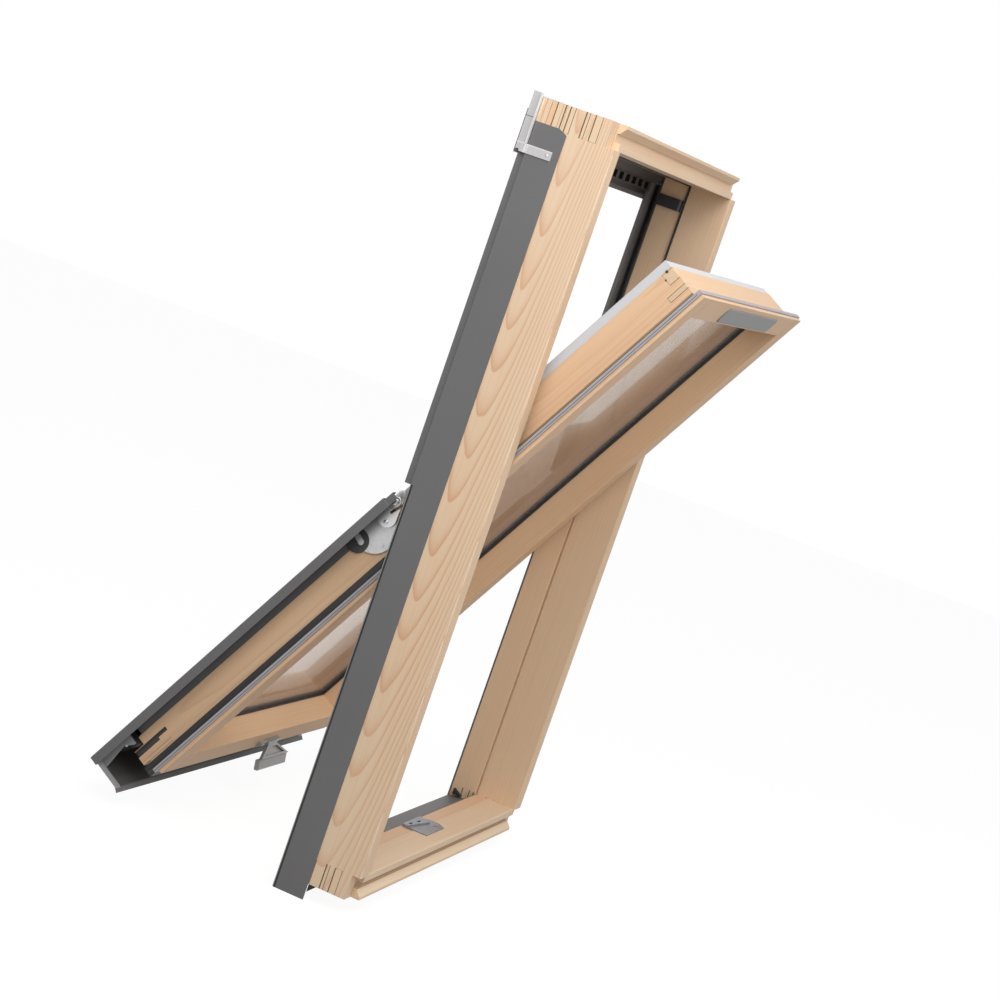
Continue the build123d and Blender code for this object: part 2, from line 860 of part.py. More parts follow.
# Sash gasket
with BuildPart() as sash_gasket:
    with BuildSketch(facing_room(board_back)):
        ring(
            (sash_gasket_half, sash_gasket_foot, board_top + sash_gasket_end),
            (body_half, body_front_foot, body_top),
        )
    extrude(amount=-sash_gasket_thickness)
keep_swung(sash_gasket, "sash_gasket")


def sash_skin():
    """Draw, in the open sketch, the cladding on a stile of the sash."""
    bent_sheet(
        (sash_cladding_half - sash_cladding_width, out(glass_back + sheet)),
        (sash_cladding_half - sash_cladding_width + sash_cladding_toe, out(sash_cladding_face)),
        (sash_cladding_half, out(sash_cladding_face)),
        (sash_cladding_half, out(body_back)),
    )


# Sash cladding, pale round the upper half and dark round the lower half
cladding_margin = sash_cladding_half - sight_half
for label, rim in (
    ("sash_upper_cladding", body_top - sash_cladding_inset),
    ("sash_lower_cladding", sight_bottom - cladding_margin),
):
    with BuildPart() as sash_cladding:
        with BuildLine() as cladding_path:
            Polyline(
                (sash_cladding_half, out(body_back), sash_cladding_split),
                (sash_cladding_half, out(body_back), rim),
                (-sash_cladding_half, out(body_back), rim),
                (-sash_cladding_half, out(body_back), sash_cladding_split),
            )
        with BuildSketch(Plane.XY.offset(sash_cladding_split)):
            sash_skin()
        sweep(path=cladding_path.wire(), transition=Transition.RIGHT)
    keep_swung(sash_cladding, label)

# Lower side covers, carried by the sash
with BuildPart() as lower_cover:
    with BuildSketch(Plane.XY.offset(lower_cover_bottom)):
        bent_sheet(
            (cover_inner, out(foot_cover_face)),
            (cover_inner, out(cover_face)),
            (lower_cover_half, out(cover_face)),
            (lower_cover_half, out(lower_cover_edge)),
        )
    extrude(amount=lower_cover_top - lower_cover_bottom)
    toe_face = cover_face - cover_toe_step
    with BuildSketch(Plane.XY.offset(lower_cover_top - cover_toe_lap)):
        bent_sheet(
            (lower_cover_half - cover_toe_width, out(toe_face)),
            (lower_cover_half, out(toe_face)),
            (lower_cover_half, out(lower_cover_edge)),
        )
    extrude(amount=cover_toe_rise + cover_toe_lap)
keep_pair(lower_cover, "lower_cover", write=keep_swung)

# Cover along the foot of the sash, with a plate near each end
with BuildPart() as foot_cover:
    with BuildSketch(side_on(-foot_cover_half)):
        bent_sheet(
            (foot_cover_face, foot_cover_top),
            (foot_cover_face, foot_cover_bottom),
            (foot_cover_start, foot_cover_bottom),
            (foot_cover_start - foot_cover_lip, foot_cover_bottom - foot_cover_lip_drop),
        )
    extrude(amount=2 * foot_cover_half)
    plate_back = foot_cover_face - sheet
    for side in (-1, 1):
        with BuildSketch(side_on(side * (inner_half - end_plate_inset))):
            with BuildLine():
                Polyline(
                    (plate_back, end_plate_front[0][1]),
                    *end_plate_front,
                    (end_plate_front[-1][0], foot_cover_bottom),
                    (plate_back, foot_cover_bottom),
                    close=True,
                )
            make_face()
        extrude(amount=sheet / 2, both=True)
keep_swung(foot_cover, "foot_cover")

# Corner caps at the foot of the sash, each filling the notch in its stile
with BuildPart() as corner_caps:
    for side in (-1, 1):
        with BuildSketch(Plane.XY.offset(cap_bottom)):
            with Locations((side * (sight_half + body_half) / 2, out((cap_start + cap_end) / 2))):
                Rectangle(body_half - sight_half, cap_end - cap_start)
        extrude(amount=stile_foot_cut - cap_bottom)
keep_swung(corner_caps, "corner_caps")

# Handle base, with a barrel cut to the slant of the lever
lever_plane = Plane(
    origin=(handle_centre, out(sash_face - handle_base_thickness - barrel_stand), barrel_height),
    x_dir=(1, 0, 0),
    z_dir=(0, -sin(radians(handle_tilt)), cos(radians(handle_tilt))),
)
lever_seat = Plane(origin=lever_plane.origin, x_dir=(1, 0, 0), z_dir=lever_plane.y_dir)
with BuildPart() as handle_base:
    with BuildSketch(facing_room(sash_face)) as handle_outline:
        with Locations((handle_centre, (handle_base_bottom + handle_base_top) / 2)):
            Rectangle(handle_base_width, handle_base_top - handle_base_bottom)
        chamfer(handle_outline.vertices(), length=handle_base_corner)
    extrude(amount=handle_base_thickness)
    with BuildSketch(side_on(handle_centre)):
        with Locations((sash_face - handle_base_thickness, barrel_height)):
            Circle(barrel_radius)
    extrude(amount=barrel_width / 2, both=True)
    split(bisect_by=lever_seat, keep=Keep.TOP)
keep_swung(handle_base, "handle_base")


def lever_outline():
    """Draw, in the open sketch, the lever's plate, which widens from the barrel to the front bar."""
    with BuildLine() as outline:
        Polyline(
            (-barrel_width / 2, 0),
            (-handle_bar_width / 2, -handle_reach),
            (handle_bar_width / 2, -handle_reach),
            (barrel_width / 2, 0),
            close=True,
        )
    make_face(outline.edges())


# Handle lever, a pocketed plate with a flat bar along its front
with BuildPart() as handle_lever:
    with BuildSketch(lever_plane):
        lever_outline()
    extrude(amount=handle_plate_thickness / 2, both=True)
    with BuildSketch(lever_plane.offset(handle_plate_thickness / 2)):
        lever_outline()
        offset(amount=-handle_wall)
    extrude(amount=-handle_pocket_depth, mode=Mode.SUBTRACT)
    front = Vector(
        handle_centre,
        out(sash_face - handle_base_thickness - barrel_stand - handle_reach * cos(radians(handle_tilt))),
        barrel_height - handle_reach * sin(radians(handle_tilt)),
    )
    bar_plane = Plane(
        origin=front,
        x_dir=(0, -sin(radians(handle_bar_tilt)), -cos(radians(handle_bar_tilt))),
        z_dir=(1, 0, 0),
    )
    with BuildSketch(bar_plane) as bar_section:
        with Locations((handle_bar_height / 2, handle_bar_thickness / 2)):
            Rectangle(handle_bar_height, handle_bar_thickness)
        fillet(bar_section.vertices(), radius=handle_bar_round)
    extrude(amount=handle_bar_width / 2, both=True)
keep_swung(handle_lever, "handle_lever")

# Blank plate on the top rail
with BuildPart() as blank_plate:
    with BuildSketch(facing_room(sash_face)) as blank_outline:
        with Locations((blank_centre, blank_bottom + blank_height / 2)):
            Rectangle(blank_width, blank_height)
        chamfer(blank_outline.vertices(), length=blank_corner)
    extrude(amount=blank_thickness)
    chamfer(blank_plate.faces().sort_by(Axis.Y)[0].edges(), length=blank_thickness / 2)
keep_swung(blank_plate, "blank_plate")


def hinge_plate_outline():
    """Draw, in the open sketch, the disc of a hinge plate with the side towards the covers cut straight."""
    with Locations(*below_pivot(hinge_plate_centre)):
        Circle(hinge_plate_radius)
    with Locations((hinge_plate_limit + hinge_plate_radius, pivot_height - hinge_plate_centre[1])):
        Rectangle(2 * hinge_plate_radius, 2 * hinge_plate_radius + over_cut, mode=Mode.SUBTRACT)


# Hinge plates on the sash, each a base with a thinner plate on it, cut out round the block of a spring
with BuildPart() as hinge_plate:
    disc_face = body_half + hinge_plate_thickness + hinge_disc_thickness
    with BuildSketch(side_on(body_half)):
        hinge_plate_outline()
    extrude(amount=hinge_plate_thickness)
    with BuildSketch(side_on(body_half + hinge_plate_thickness)):
        hinge_plate_outline()
        with Locations(*below_pivot(spring_pocket_place)):
            Circle(spring_pocket_radius, mode=Mode.SUBTRACT)
    extrude(amount=hinge_disc_thickness)
    with BuildSketch(side_on(body_half + hinge_plate_thickness)):
        with Locations(*below_pivot(*spring_block_places)):
            Circle(spring_block_radius)
        make_hull()
    extrude(amount=spring_block_thickness)
    with BuildSketch(side_on(disc_face)):
        with Locations(*below_pivot(*rivets)):
            Circle(rivet_radius)
    extrude(amount=rivet_stand)
keep_pair(hinge_plate, "hinge_plate", write=keep_swung)

# Hinge arms, held by the frame, each with a hook slot and the two pins that join it to its neighbours
with BuildPart() as hinge_arm:
    arm_inner = disc_face + arm_gap
    with BuildSketch(side_on(arm_inner)):
        for place, radius in (
            (lobe_place, lobe_radius),
            (arm_pin_place, arm_pin_radius),
            (arm_tip_place, arm_tip_radius),
        ):
            with Locations(*below_pivot(place)):
                Circle(radius)
        make_hull()
    extrude(amount=arm_thickness)
    with BuildSketch(side_on(arm_inner)):
        with Locations(*below_pivot(*hook_slot_places)):
            Circle(hook_slot_width / 2)
        make_hull()
    extrude(amount=arm_thickness, mode=Mode.SUBTRACT)
    with BuildSketch(side_on(disc_face)):
        with Locations(*below_pivot(hinge_pin_place)):
            Circle(hinge_pin_radius)
    extrude(amount=arm_gap + arm_thickness + rivet_stand)
    with BuildSketch(side_on(arm_inner)):
        with Locations(*below_pivot(arm_pin_place)):
            Circle(hinge_pin_radius)
    extrude(amount=inner_half - hinge_bracket_thickness - arm_inner)
keep_pair(hinge_arm, "hinge_arm")

# Hinge brackets on the jambs
with BuildPart() as hinge_bracket:
    with BuildSketch(side_on(inner_half - hinge_bracket_thickness)):
        with Locations(*below_pivot(arm_pin_place)):
            Circle(arm_pin_radius)
        with Locations(*below_pivot(*hinge_bracket_places)):
            Circle(arm_tip_radius)
        make_hull()
    extrude(amount=hinge_bracket_thickness)
keep_pair(hinge_bracket, "hinge_bracket")
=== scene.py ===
"""Looks of the roof window: timber, cladding, glass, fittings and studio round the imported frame.

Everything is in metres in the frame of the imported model: X to the right as seen from the room, Y outward
through the roof, Z up along the jambs, with the origin in the middle of the sill's flat underside. Places on
the sash are given with the sash shut, and SWING turns them to the angle at which the model holds it open.
"""

import logging
from dataclasses import dataclass
from enum import Enum
from math import cos, pi, radians, sin

import bmesh
import bpy
from mathutils import Matrix, Vector


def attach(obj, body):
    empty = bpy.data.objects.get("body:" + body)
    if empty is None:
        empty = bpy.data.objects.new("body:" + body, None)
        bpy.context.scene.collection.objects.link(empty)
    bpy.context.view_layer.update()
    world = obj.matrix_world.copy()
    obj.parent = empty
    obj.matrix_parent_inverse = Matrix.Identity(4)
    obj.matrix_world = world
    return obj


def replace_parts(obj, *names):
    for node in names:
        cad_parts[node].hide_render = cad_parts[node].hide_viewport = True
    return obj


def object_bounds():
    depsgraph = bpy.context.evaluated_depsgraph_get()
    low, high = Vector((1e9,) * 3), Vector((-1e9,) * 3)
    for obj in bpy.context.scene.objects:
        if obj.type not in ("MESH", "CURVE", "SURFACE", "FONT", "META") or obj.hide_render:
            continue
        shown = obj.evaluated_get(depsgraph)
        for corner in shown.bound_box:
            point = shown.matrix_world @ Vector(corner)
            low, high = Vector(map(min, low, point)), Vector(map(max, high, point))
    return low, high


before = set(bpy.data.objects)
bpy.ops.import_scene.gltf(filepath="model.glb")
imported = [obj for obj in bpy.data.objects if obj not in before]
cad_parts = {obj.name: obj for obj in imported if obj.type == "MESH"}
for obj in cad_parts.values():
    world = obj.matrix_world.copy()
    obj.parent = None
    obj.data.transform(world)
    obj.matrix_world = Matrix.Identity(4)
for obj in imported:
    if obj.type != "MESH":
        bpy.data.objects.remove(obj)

LOG = logging.getLogger("roof_window")
CAD_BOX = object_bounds()

MM = 0.001
WELD = 1e-5
FLAT = radians(0.5)
SHARP = radians(32)

ROOM_FACE = -60 * MM
PIVOT = Vector((0, 138.4, 627.1)) * MM
OPENING = radians(30)
SWING = Matrix.Translation(PIVOT) @ Matrix.Rotation(OPENING, 4, "X") @ Matrix.Translation(-PIVOT)

Colour = tuple[float, float, float]
Span = tuple[float, float]

HANDS = ((-1, "left"), (1, "right"))


def at(across: float, depth: float, height: float) -> Matrix:
    """Give the place at this many millimetres across, outward from the room face, and up."""
    return Matrix.Translation((across * MM, ROOM_FACE + depth * MM, height * MM))


class Value:
    """A node's output, on which the arithmetic operators add Math nodes."""

    def __init__(self, tree: "Tree", socket: bpy.types.NodeSocket) -> None:
        """Hold the socket and the tree that it belongs to."""
        self.tree = tree
        self.socket = socket

    def __add__(self, other: "Value | float") -> "Value":
        """Add."""
        return self.tree.maths("ADD", self, other)

    def __radd__(self, other: float) -> "Value":
        """Add to a number."""
        return self.tree.maths("ADD", other, self)

    def __sub__(self, other: "Value | float") -> "Value":
        """Subtract."""
        return self.tree.maths("SUBTRACT", self, other)

    def __rsub__(self, other: float) -> "Value":
        """Subtract from a number."""
        return self.tree.maths("SUBTRACT", other, self)

    def __mul__(self, other: "Value | float") -> "Value":
        """Multiply."""
        return self.tree.maths("MULTIPLY", self, other)

    def __rmul__(self, other: float) -> "Value":
        """Multiply a number."""
        return self.tree.maths("MULTIPLY", other, self)

    def __truediv__(self, other: "Value | float") -> "Value":
        """Divide."""
        return self.tree.maths("DIVIDE", self, other)

    def __rtruediv__(self, other: float) -> "Value":
        """Divide a number."""
        return self.tree.maths("DIVIDE", other, self)

    def __pow__(self, other: "Value | float") -> "Value":
        """Raise to a power."""
        return self.tree.maths("POWER", self, other)

    def __abs__(self) -> "Value":
        """Drop the sign."""
        return self.tree.maths("ABSOLUTE", self)


class Tree:
    """The node tree of one material or world while it is being built."""

    def __init__(self, owner: bpy.types.Material | bpy.types.World) -> None:
        """Empty the owner's tree."""
        owner.use_nodes = True
        self.nodes = owner.node_tree.nodes
        self.links = owner.node_tree.links
        self.nodes.clear()

    def add(self, kind: str, settings: dict | None = None, inputs: dict | None = None) -> bpy.types.Node:
        """Add a node, set it up and then fill its sockets.

        Args:
            kind: the node's type.
            settings: values of its own settings, which are set first.
            inputs: numbers, colours or links by the name or number of the socket.

        Returns:
            The new node.
        """
        node = self.nodes.new(kind)
        for key, setting in (settings or {}).items():
            setattr(node, key, setting)
        for key, given in (inputs or {}).items():
            self.feed(node.inputs[key], given)
        return node

    def feed(self, socket: bpy.types.NodeSocket, given: object) -> None:
        """Link or set one input socket.

        Args:
            socket: the input to fill.
            given: a Value or an output to link, or a number, colour or vector to set.
        """
        if isinstance(given, Value):
            self.links.new(given.socket, socket)
        elif isinstance(given, bpy.types.NodeSocket):
            self.links.new(given, socket)
        elif isinstance(given, tuple) and len(given) == 3 and socket.type == "RGBA":
            socket.default_value = (*given, 1.0)
        else:
            socket.default_value = given

    def maths(self, operation: str, *terms: "Value | float") -> Value:
        """Add a Math node and return its result."""
        node = self.add("ShaderNodeMath", {"operation": operation}, dict(enumerate(terms)))
        return Value(self, node.outputs[0])

    def fraction(self, value: Value) -> Value:
        """Return the part of a value after its whole number."""
        return self.maths("FRACT", value)

    def between(self, value: Value, low: float, high: float) -> Value:
        """Rise smoothly from 0 at low to 1 at high."""
        inputs = {"Value": value, "From Min": low, "From Max": high}
        node = self.add("ShaderNodeMapRange", {"interpolation_type": "SMOOTHSTEP"}, inputs)
        return Value(self, node.outputs[0])

    def mix(self, share: "Value | float", first: object, second: object, blend: str = "MIX") -> Value:
        """Mix two colours.

        Args:
            share: how much of the second colour shows.
            first: the colour or link below.
            second: the colour or link on top.
            blend: how the second goes onto the first.

        Returns:
            The mixed colour.
        """
        settings = {"data_type": "RGBA", "blend_type": blend}
        node = self.add("ShaderNodeMix", settings, {0: share, 6: first, 7: second})
        return Value(self, node.outputs[2])

    def noise(self, vector: Value, scale: float, detail: float = 2.0, rough: float = 0.5) -> Value:
        """Return soft noise between 0 and 1.

        Args:
            vector: where it is read.
            scale: how many blotches there are to one unit.
            detail: how many finer layers it has.
            rough: how strong the finer layers are.

        Returns:
            The noise's value.
        """
        inputs = {"Vector": vector, "Scale": scale, "Detail": detail, "Roughness": rough}
        node = self.add("ShaderNodeTexNoise", {"noise_dimensions": "3D"}, inputs)
        return Value(self, node.outputs[0])

    def place(self) -> Value:
        """Return the object coordinates, which are metres in the model's frame."""
        return Value(self, self.add("ShaderNodeTexCoord").outputs["Object"])

    def joined(self, x: "Value | float", y: "Value | float", z: "Value | float") -> Value:
        """Join three values into a vector."""
        return Value(self, self.add("ShaderNodeCombineXYZ", {}, {0: x, 1: y, 2: z}).outputs[0])

    def parted(self, vector: Value) -> tuple[Value, Value, Value]:
        """Part a vector into its three values."""
        node = self.add("ShaderNodeSeparateXYZ", {}, {0: vector})
        return tuple(Value(self, output) for output in node.outputs)

    def shut_place(self, on_sash: bool) -> Value:
        """Return the object coordinates, turned back on the sash to where it stands when it is shut."""
        spot = self.place()
        if not on_sash:
            return spot
        back = SWING.inverted()
        turn = {"Vector": spot, "Rotation": back.to_euler(), "Location": back.translation}
        return Value(self, self.add("ShaderNodeMapping", {"vector_type": "POINT"}, turn).outputs[0])

    def facing(self, way: Vector) -> Value:
        """Return 1 on faces across a way and 0 on faces along it."""
        normal = self.add("ShaderNodeNewGeometry").outputs["True Normal"]
        inputs = {0: normal, 1: tuple(way)}
        node = self.add("ShaderNodeVectorMath", {"operation": "DOT_PRODUCT"}, inputs)
        return self.between(abs(Value(self, node.outputs["Value"])), 0.75, 0.95)

    def bump(self, height: Value, depth: float, strength: float = 1.0) -> Value:
        """Return a normal that leans with a height between 0 and 1, this many metres deep."""
        inputs = {"Height": height, "Distance": depth, "Strength": strength}
        return Value(self, self.add("ShaderNodeBump", {}, inputs).outputs[0])

    def surface(self, inputs: dict) -> None:
        """Add the Principled shader, filled and joined to the material's output."""
        shader = self.add("ShaderNodeBsdfPrincipled", {}, inputs)
        self.add("ShaderNodeOutputMaterial", {}, {"Surface": shader.outputs[0]})


def new_tree(name: str) -> tuple[bpy.types.Material, Tree]:
    """Make a material with an empty tree."""
    material = bpy.data.materials.new(name)
    return material, Tree(material)


class Grain(Enum):
    """Which way a timber's fibres run."""

    UP = "along the jambs"
    ACROSS = "along the sill"


@dataclass(frozen=True, kw_only=True)
class Band:
    """A colour that is laid where a place lies within every span that is given, in millimetres.

    Across is measured from the middle to either side, depth outward from the room face, height up the jambs.
    """

    colour: Colour
    across: Span | None = None
    depth: Span | None = None
    height: Span | None = None
    share: float = 1.0
    soft: float = 0.15

    def cover(self, tree: Tree, spot: Value) -> Value:
        """Return how much of the band's colour shows.

        Args:
            tree: the material's tree.
            spot: the place, in metres, with the sash shut.

        Returns:
            A share between 0 and 1.
        """
        x, y, z = tree.parted(spot)
        cover = self.share
        for metres, span in ((abs(x), self.across), (y - ROOM_FACE, self.depth), (z, self.height)):
            if span is None:
                continue
            low, high = span
            place = metres / MM
            cover = cover * tree.between(place, low - self.soft, low + self.soft)
            cover = cover * (1.0 - tree.between(place, high - self.soft, high + self.soft))
        return cover


@dataclass(frozen=True, kw_only=True)
class Finish:
    """What every finish has: its name, its piece's place and the bands that are laid on it."""

    name: str
    on_sash: bool = False
    bands: tuple[Band, ...] = ()

    def banded(self, tree: Tree, colour: object, spot: Value) -> object:
        """Lay the bands on a colour, in order."""
        for band in self.bands:
            colour = tree.mix(band.cover(tree, spot), colour, band.colour)
        return colour


# Dark brown of the glue lines, also laid as painted shade lines along the sill's step and the jamb's notch
GLUE_AND_SHADE = (0.13, 0.062, 0.026)
JAMB_SIDE = (357.6, 395.0)
STILE_SIDE = (336.0, 338.0)
SILL_END = (-2.0, 38.2)
HEAD_END = (1139.8, 1180.0)

# Comb joints of the frame: depth of each glue line and half its width
FRAME_GLUE = (
    (30.2, 0.42), (41.3, 0.9), (50.3, 0.5), (55.5, 1.0), (72.4, 0.5), (79.9, 1.0), (87.3, 1.0), (91.5, 0.25),
    (100.1, 0.9),
)
HEAD_GLUE = ((108.6, 0.35), (117.0, 0.3))

# Comb joints of the sash: depth of each glue line, half its width, and where it starts and ends
STILE_GLUE = (
    (79.0, 0.25, 29.0, 90.0),
    (84.2, 0.3, 29.0, 90.0),
    (79.0, 0.4, 1087.5, 1122.0),
    (86.8, 0.4, 1087.5, 1122.0),
    (98.2, 0.4, 1102.0, 1122.0),
)


def glue_line(depth: float, width: float, across: Span, height: Span) -> Band:
    """Give a glue line that runs up the window, at this depth and half this wide."""
    return Band(colour=GLUE_AND_SHADE, across=across, depth=(depth - width, depth + width), height=height, share=0.85)


ORANGE_FINGER = Band(colour=(0.80, 0.44, 0.24), across=JAMB_SIDE, depth=(101.0, 108.0), height=HEAD_END,
                     share=0.55, soft=0.8)
FRAME_BANDS = (
    ORANGE_FINGER,
    *(glue_line(depth, width, JAMB_SIDE, SILL_END) for depth, width in FRAME_GLUE),
    *(glue_line(depth, width, JAMB_SIDE, HEAD_END) for depth, width in (*FRAME_GLUE, *HEAD_GLUE)),
)
RIDGE_SHADE = Band(colour=(0.20, 0.15, 0.085), across=(341.3, 343.2), depth=(65.0, 68.6),
                   height=(580.0, 1130.0), share=0.8)
STILE_BANDS = (
    RIDGE_SHADE,
    *(glue_line(depth, width, STILE_SIDE, (low, high)) for depth, width, low, high in STILE_GLUE),
)


@dataclass(frozen=True, kw_only=True)
class Pine(Finish):
    """Pine under a clear satin lacquer, sawn from a log whose centre line is given.

    The rings are cylinders round that line, bent a little by noise, so flat faces that graze them show the
    arches of flat sawn boards, and end grain shows arcs.
    """

    grain: Grain
    heart: tuple[float, float]
    drift: tuple[float, float] = (0.0, 0.0)
    ring: float = 3.6 * MM
    waves: float = 7 * MM
    figure: float = 0.55
    early: Colour = (0.775, 0.595, 0.415)
    warm: Colour = (0.755, 0.535, 0.345)
    late: Colour = (0.66, 0.375, 0.225)
    end_grain: Colour = (0.76, 0.575, 0.38)

    def fibres_way(self) -> Vector:
        """Give the direction of the fibres, as a vector of length 1."""
        way = Vector((0, 0, 1)) if self.grain is Grain.UP else Vector((1, 0, 0))
        return SWING.to_3x3() @ way if self.on_sash else way

    def material(self) -> bpy.types.Material:
        """Build the finish."""
        material, tree = new_tree(self.name)
        spot = tree.shut_place(self.on_sash)
        x, y, z = tree.parted(spot)
        along, across, deep = (z, x, y) if self.grain is Grain.UP else (x, z, y)

        def drawn_out(cross: float, lengthwise: float, detail: float = 2.0, rough: float = 0.5) -> Value:
            """Return noise that is drawn out along the fibres."""
            place = tree.joined(across * cross, deep * cross, along * lengthwise)
            return tree.noise(place, 1.0, detail, rough)

        bend = drawn_out(9.0, 1.8, 1.5) - 0.5
        ripple = drawn_out(45.0, 9.0, 1.0) - 0.5
        fibres = drawn_out(900.0, 9.0, 3.0, 0.6)
        streaks = drawn_out(260.0, 2.5)
        blotches = drawn_out(14.0, 3.0)
        lines = drawn_out(520.0, 1.5, 1.0)

        side = across - self.heart[0] - along * self.drift[0]
        inward = deep - self.heart[1] - along * self.drift[1]
        radius = (side * side + inward * inward) ** 0.5 + bend * self.waves + ripple * self.waves * 0.22
        spacing = tree.noise(tree.joined(radius * 60.0, 0.0, 0.0), 1.0, 1.0) * 1.2
        turn = tree.fraction(radius / self.ring + spacing)
        late = turn ** 4.0 * (1.0 - tree.between(turn, 0.94, 1.0))

        sawn_end = tree.facing(self.fibres_way())
        strength = late * (0.30 + blotches) * self.figure * (1.0 - sawn_end * 0.55)
        wood = tree.mix(tree.between(blotches, 0.35, 0.75) * 0.5, self.early, self.warm)
        wood = tree.mix(tree.between(streaks, 0.5, 0.72) * 0.28, wood, self.warm)
        wood = tree.mix(sawn_end * 0.8, wood, self.end_grain)
        wood = tree.mix(strength, wood, self.late)
        wood = tree.mix(tree.between(fibres, 0.48, 0.72) * 0.13, wood, self.late)
        wood = tree.mix(tree.between(lines, 0.55, 0.70) * (1.0 - sawn_end) * 0.22, wood, self.late)
        height = fibres * 0.6 - late * 0.4
        tree.surface({
            "Base Color": self.banded(tree, wood, spot),
            "Roughness": 0.50 + fibres * 0.12 - late * 0.06,
            "Normal": tree.bump(height, 0.12 * MM, 0.35),
            "Specular IOR Level": 0.35,
        })
        return material


@dataclass(frozen=True, kw_only=True)
class Coating(Finish):
    """A matt or satin coat on sheet metal, with a fine orange peel."""

    colour: Colour
    roughness: float = 0.5
    metallic: float = 0.0
    grain: float = 900.0
    depth: float = 0.02 * MM
    specular: float = 0.4

    def material(self) -> bpy.types.Material:
        """Build the finish."""
        material, tree = new_tree(self.name)
        spot = tree.shut_place(self.on_sash)
        peel = tree.noise(spot, self.grain, 2.0)
        cloud = tree.noise(spot, 7.0, 3.0)
        lighter = tuple(min(1.0, part * 1.12) for part in self.colour)
        darker = tuple(part * 0.90 for part in self.colour)
        colour = tree.mix(cloud * 0.7 + peel * 0.3, darker, lighter)
        tree.surface({
            "Base Color": self.banded(tree, colour, spot),
            "Metallic": self.metallic,
            "Roughness": self.roughness - 0.06 + peel * 0.06 + cloud * 0.08,
            "Normal": tree.bump(peel, self.depth, 0.5),
            "Specular IOR Level": self.specular,
        })
        return material


@dataclass(frozen=True, kw_only=True)
class Plating(Finish):
    """Bright plated steel, clouded by the edges of its crystals and finely brushed."""

    colour: Colour = (0.66, 0.66, 0.65)
    roughness: float = 0.34
    metallic: float = 0.75
    crystal: float = 150.0

    def material(self) -> bpy.types.Material:
        """Build the finish."""
        material, tree = new_tree(self.name)
        spot = tree.place()
        cells = tree.add("ShaderNodeTexVoronoi", {}, {"Vector": spot, "Scale": self.crystal})
        shade = tree.mix(1.0, Value(tree, cells.outputs["Color"]), (0.5, 0.5, 0.5), "SATURATION")
        cloud = tree.noise(spot, 40.0, 3.0)
        bright = tuple(min(1.0, part * 1.15) for part in self.colour)
        dull = tuple(part * 0.82 for part in self.colour)
        colour = tree.mix(0.10, tree.mix(cloud, dull, bright), shade, "OVERLAY")
        brushed = tree.noise(spot, 700.0, 1.0)
        tree.surface({
            "Base Color": self.banded(tree, colour, spot),
            "Metallic": self.metallic,
            "Roughness": self.roughness - 0.05 + cloud * 0.10,
            "Normal": tree.bump(brushed, 0.01 * MM, 0.4),
        })
        return material


@dataclass(frozen=True, kw_only=True)
class Rubber(Finish):
    """A seal, foam or moulded plastic, with pores or a spark grain."""

    colour: Colour
    roughness: float = 0.7
    pores: float = 600.0
    depth: float = 0.05 * MM

    def material(self) -> bpy.types.Material:
        """Build the finish."""
        material, tree = new_tree(self.name)
        spot = tree.shut_place(self.on_sash)
        pores = tree.noise(spot, self.pores, 3.0, 0.6)
        wear = tree.noise(spot, 25.0, 3.0)
        lighter = tuple(part * 1.35 + 0.004 for part in self.colour)
        colour = tree.mix(wear * 0.5 + pores * 0.3, self.colour, lighter)
        tree.surface({
            "Base Color": self.banded(tree, colour, spot),
            "Roughness": self.roughness - 0.08 + pores * 0.16,
            "Normal": tree.bump(pores, self.depth, 0.6),
        })
        return material


@dataclass(frozen=True)
class Glazing:
    """Clear pane glass with a painted warm reflection at a slant, which lets the shadow rays of the lamps
    through.
    """

    name: str = "pane_glass"
    colour: Colour = (0.98, 0.955, 0.93)
    ior: float = 1.14
    warm_reflection: Colour = (0.64, 0.54, 0.46)
    warm_reflection_power: float = 2.5
    warm_reflection_share: float = 0.75

    def material(self) -> bpy.types.Material:
        """Build the finish."""
        material, tree = new_tree(self.name)
        smear = tree.noise(tree.place(), 6.0, 2.0)
        glass = tree.add("ShaderNodeBsdfPrincipled", {}, {
            "Base Color": self.colour,
            "Roughness": smear * 0.004,
            "IOR": self.ior,
            "Transmission Weight": 1.0,
        })
        clear = tree.add("ShaderNodeBsdfTransparent", {}, {"Color": self.colour})
        path = tree.add("ShaderNodeLightPath")
        rays = [Value(tree, path.outputs[name]) for name in ("Is Shadow Ray", "Is Diffuse Ray")]
        passing = tree.maths("MAXIMUM", *rays)
        slant = Value(tree, tree.add("ShaderNodeLayerWeight").outputs["Facing"])
        # Painted reflection: a warm tinted gloss that shows more at a slant
        warm_reflection = tree.add("ShaderNodeBsdfGlossy", {}, {"Color": self.warm_reflection, "Roughness": 0.2})
        share = slant ** self.warm_reflection_power * self.warm_reflection_share
        pane = tree.add("ShaderNodeMixShader", {}, {0: share, 1: glass.outputs[0], 2: warm_reflection.outputs[0]})
        mixed = tree.add("ShaderNodeMixShader", {}, {0: passing, 1: pane.outputs[0], 2: clear.outputs[0]})
        tree.add("ShaderNodeOutputMaterial", {}, {"Surface": mixed.outputs[0]})
        return material


